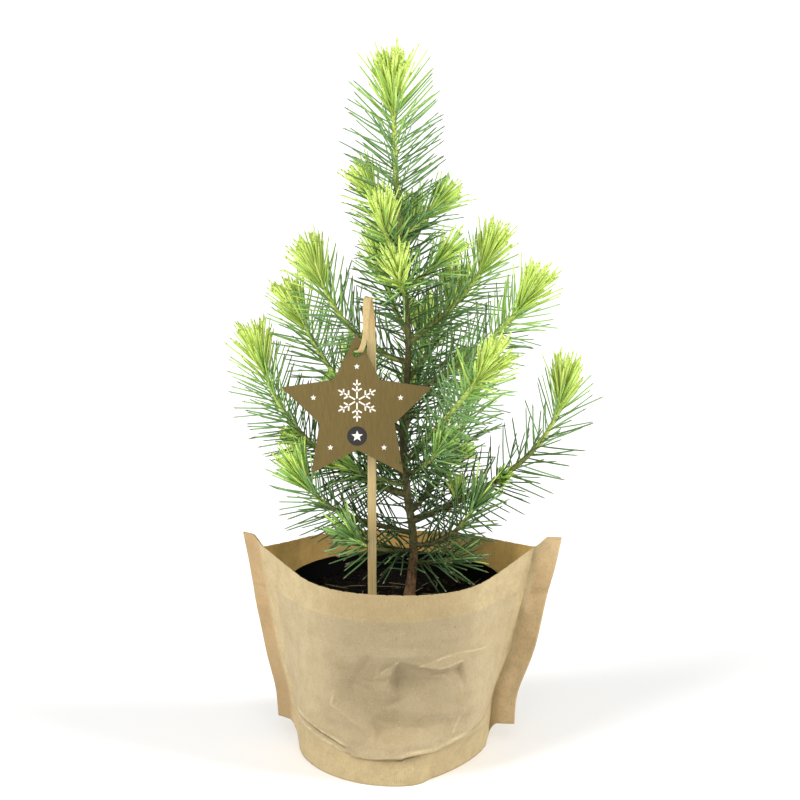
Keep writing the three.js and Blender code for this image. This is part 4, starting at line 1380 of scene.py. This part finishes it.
def make_pick(settings):
    """The bamboo strip: a rounded oblong section carried along its line, thinner past the shoulder.

    Corner = place + cos(a) to the power 0.4, times half the width, across + the same of sin(a) out.
    """
    places, aim = spline(PICK_LINE, 0.5)
    run = distances(places)
    thin = ramp(run, SHOULDER - 1.5, SHOULDER + 1.5)
    end = ramp(run / run[-1], 0.84, 0.93)
    node = bell(run, PICK_NODE, 1.4)
    width = (PICK_WIDTH - 0.4 * thin) * (1 - end) + 2.6 * end + 0.05 * np.sin(run * 0.11) + 0.25 * node
    depth = PICK_DEPTH - 0.75 * thin + 0.2 * node
    nibs = np.minimum(1, 0.7 + 0.3 * np.minimum(run, run[-1] - run) / 0.8)
    sides = 24
    angle = round_angles(sides)[None]
    ring = places[:, None]
    reference = np.array([1.0, 0.0, 0.0])
    for span, wave, way in zip((width, depth), (np.cos(angle), np.sin(angle)), across(aim, reference)):
        corner = np.sign(wave) * np.abs(wave) ** 0.4
        ring = ring + (span * nibs / 2)[:, None, None] * corner[..., None] * way[:, None]
    build = Build().add(ring, *closed_tube(len(places), sides))
    build.piece("pick_strip", bamboo_finish(tuple(settings.bamboo)), "bamboo", ["bamboo_pick"])


def star_outline(outer, inner):
    """Ten corners, five far and five near, from the top round against the clock."""
    corner = np.arange(10)
    return np.stack(polar(np.where(corner % 2, inner, outer), math.pi / 2 + corner * math.pi / 5), 1)


def strokes(lines, width):
    """Outlines of straight strokes of a width, each a quad round its line."""
    quads = []
    for (x0, z0), (x1, z1) in lines:
        along = unit(np.array([x1 - x0, z1 - z0], float))
        side = np.array([-along[1], along[0]]) * width / 2
        a, b = np.array([x0, z0]), np.array([x1, z1])
        quads.append(np.array([a - side, b - side, b + side, a + side]))
    return quads


def snowflake(middle, size):
    """A six-armed snowflake: each arm a line with two pairs of barbs at sixty degrees."""
    lines = []
    for arm in range(6):
        way = math.radians(90 + 60 * arm)
        lines.append((polar(size * 0.1, way, middle), polar(size, way, middle)))
        for share, reach in ((0.45, 0.26), (0.72, 0.2)):
            root = polar(size * share, way, middle)
            for lean in (-60, 60):
                lines.append((root, polar(size * reach, way + math.radians(lean), root)))
    return lines


# The print: how far it stands out and goes in, the ring of small stars, and the dot with a star in it.
PRINT_DEPTHS = (0.07, -0.02)
DOT_STAR_DEPTHS = (0.13, 0.08)
SMALL_STARS_RADIUS = 22.5
DOT_HEIGHT = -12.4
DOT_RADIUS = 4.9


def make_star(settings):
    """The star plate with its hole and softened edges, and a plain printed ornament on its face."""
    low, high = np.array(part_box("star_tag")) / MM
    shift = np.array([(low[0] + high[0]) / 2, high[2] - STAR_OUTER])
    front, back = low[1], high[1]
    circle = np.stack(polar(1, round_angles(40)), 1)
    hole = HOLE_RADIUS * circle + [0, HOLE_HEIGHT] + shift
    build = Build().add(*plate(star_outline(STAR_OUTER, STAR_INNER) + shift, [hole], front, back))
    piece = build.piece("star_plate", board_finish(tuple(settings.board)), "star_board", ["star_tag"], False)
    bevel = piece.modifiers.new("Soft Edges", "BEVEL")
    bevel.width, bevel.segments, bevel.limit_method = 0.00018, 2, "ANGLE"

    light, dark = Build(), Build()
    face = [front - depth for depth in PRINT_DEPTHS]
    small = star_outline(1.5, 0.65)
    stars = [small + polar(SMALL_STARS_RADIUS, math.radians(90 + 72 * index)) for index in range(5)]
    for outline in strokes(snowflake((0, 5.5), 10.5), 0.75) + stars:
        light.add(*plate(outline + shift, [], *face))
    dot = shift + [0, DOT_HEIGHT]
    light.add(*plate(star_outline(2.9, 1.25) + dot, [], *[front - depth for depth in DOT_STAR_DEPTHS]))
    dark.add(*plate(DOT_RADIUS * circle + dot, [], *face))
    for name, title, ink, build in (
        ("star_light_print", "Light Ink", settings.ink, light),
        ("star_dark_print", "Dark Ink", settings.dark_ink, dark),
    ):
        build.piece(name, ink_finish(title, tuple(ink)), "star_board", smooth=False)


# ------------------------------------------------------------------ the stage

# The radii of the floor's rings.
FLOOR_RADII = (0.01, 600, 30000)
FLOOR_SIDES = 64
# Each light's name, the way it comes from, and its strength against the setting.
LIGHTS = (
    ("Left Light", (-1.0, -0.65, 0.7), 1.15),
    ("Right Light", (1.0, -0.22, 0.5), 1.15),
    ("Front Light", (0.1, -1.0, 1.0), 0.2),
)
LIGHT_SPREAD = math.radians(30)
CAMERA_PLACE = (0.0025, -1.0, 0.4)
CAMERA_TARGET = (0.0025, 0, 0.1823)


def make_stage(settings):
    """A pale round floor, an even sky, a soft light from each side and from the front, and the camera."""
    rings = turned([(radius, 0) for radius in FLOOR_RADII], FLOOR_SIDES)
    mesh = bpy.data.meshes.new("floor")
    faces = grid(len(FLOOR_RADII), FLOOR_SIDES, True).tolist() + [list(range(FLOOR_SIDES))]
    mesh.from_pydata((rings.reshape(-1, 3) * MM).tolist(), [], faces)
    mesh.materials.append(floor_finish(tuple(settings.floor)))
    floor = bpy.data.objects.new("floor", mesh)
    scene = bpy.context.scene
    scene.collection.objects.link(floor)

    scene.world = bpy.data.worlds.new("Studio")
    scene.world.use_nodes = True
    nodes, link = scene.world.node_tree.nodes, scene.world.node_tree.links.new
    where, part, fall = (nodes.new(f"ShaderNode{kind}") for kind in ("TexCoord", "SeparateXYZ", "MapRange"))
    fall.interpolation_type = "SMOOTHSTEP"
    for socket, value in (("From Min", 0.03), ("From Max", 0.4), ("To Min", 1.0), ("To Max", settings.world)):
        fall.inputs[socket].default_value = value
    link(where.outputs["Generated"], part.inputs[0])
    link(part.outputs["Z"], fall.inputs["Value"])
    link(fall.outputs[0], nodes["Background"].inputs["Strength"])
    nodes["Background"].inputs["Color"].default_value = (1, 1, 1, 1)

    for name, place, share in LIGHTS:
        lamp = bpy.data.lights.new(name, "SUN")
        lamp.energy, lamp.angle = settings.key * share, LIGHT_SPREAD
        light = bpy.data.objects.new(name, lamp)
        light.rotation_euler = Vector(place).to_track_quat("Z", "Y").to_euler()
        scene.collection.objects.link(light)

    lens = bpy.data.cameras.new("Camera")
    lens.lens, lens.sensor_width = settings.lens, 36
    lens.clip_start, lens.clip_end = 0.01, 100
    camera = bpy.data.objects.new("Camera", lens)
    camera.location = CAMERA_PLACE
    aim = Vector(CAMERA_TARGET) - Vector(CAMERA_PLACE)
    camera.rotation_euler = aim.to_track_quat("-Z", "Y").to_euler()
    scene.collection.objects.link(camera)
    scene.camera = camera
    scene.view_settings.view_transform = "Standard"


# ------------------------------------------------------------------ operators, panel and registration

class PINE_OT_stage(bpy.types.Operator):
    """Make the floor, the lights and the camera"""

    bl_idname = "pine.stage"
    bl_label = "Stage"

    def execute(self, context):
        make_stage(context.scene.pine_stage)
        return {"FINISHED"}


class PINE_OT_bark(bpy.types.Operator):
    """Make the trunk, the boughs and the side shoots"""

    bl_idname = "pine.bark"
    bl_label = "Trunk and Boughs"

    def execute(self, context):
        make_bark(context.scene.pine_tree)
        return {"FINISHED"}


class PINE_OT_needles(bpy.types.Operator):
    """Make the needles"""

    bl_idname = "pine.needles"
    bl_label = "Needles"

    def execute(self, context):
        make_needles(context.scene.pine_tree)
        return {"FINISHED"}


class PINE_OT_pot(bpy.types.Operator):
    """Make the nursery pot"""

    bl_idname = "pine.pot"
    bl_label = "Pot"

    def execute(self, context):
        make_pot(context.scene.pine_pot)
        return {"FINISHED"}


class PINE_OT_soil(bpy.types.Operator):
    """Make the soil with its crumbs and straws"""

    bl_idname = "pine.soil"
    bl_label = "Soil"

    def execute(self, context):
        make_soil(context.scene.pine_pot)
        return {"FINISHED"}


class PINE_OT_bag(bpy.types.Operator):
    """Make the bag's two panels and its gusset"""

    bl_idname = "pine.bag"
    bl_label = "Paper Bag"

    def execute(self, context):
        make_bag(context.scene.pine_bag)
        return {"FINISHED"}


class PINE_OT_pick(bpy.types.Operator):
    """Make the bamboo pick"""

    bl_idname = "pine.pick"
    bl_label = "Pick"

    def execute(self, context):
        make_pick(context.scene.pine_tag)
        return {"FINISHED"}


class PINE_OT_star(bpy.types.Operator):
    """Make the star tag with its print"""

    bl_idname = "pine.star"
    bl_label = "Star Tag"

    def execute(self, context):
        make_star(context.scene.pine_tag)
        return {"FINISHED"}


STEPS = (
    PINE_OT_stage, PINE_OT_bark, PINE_OT_needles, PINE_OT_pot, PINE_OT_soil, PINE_OT_bag, PINE_OT_pick,
    PINE_OT_star,
)
GROUPS = {
    "pine_tree": TreeSettings, "pine_pot": PotSettings, "pine_bag": BagSettings, "pine_tag": TagSettings,
    "pine_stage": StageSettings,
}


class PINE_PT_panel(bpy.types.Panel):
    """The settings and the steps, in order"""

    bl_idname = "PINE_PT_panel"
    bl_label = "Potted Pine"
    bl_space_type = "VIEW_3D"
    bl_region_type = "UI"
    bl_category = "Pine"

    def draw(self, context):
        for name, group in GROUPS.items():
            box = self.layout.box()
            for key in group.__annotations__:
                box.prop(getattr(context.scene, name), key)
        for step in STEPS:
            self.layout.operator(step.bl_idname)


CLASSES = (*GROUPS.values(), *STEPS, PINE_PT_panel)


def register():
    """Registers every class, and hangs each group of settings on the scene."""
    for item in CLASSES:
        bpy.utils.register_class(item)
    for name, group in GROUPS.items():
        setattr(bpy.types.Scene, name, bpy.props.PointerProperty(type=group))


def unregister():
    """Takes the settings and the classes away again."""
    for name in GROUPS:
        delattr(bpy.types.Scene, name)
    for item in reversed(CLASSES):
        bpy.utils.unregister_class(item)


def main():
    """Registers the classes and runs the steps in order."""
    register()
    for step in STEPS:
        family, name = step.bl_idname.split(".")
        if getattr(getattr(bpy.ops, family), name)() != {"FINISHED"}:
            raise RuntimeError(f"{step.bl_label} didn't finish")


if __name__ == "__main__":
    main()
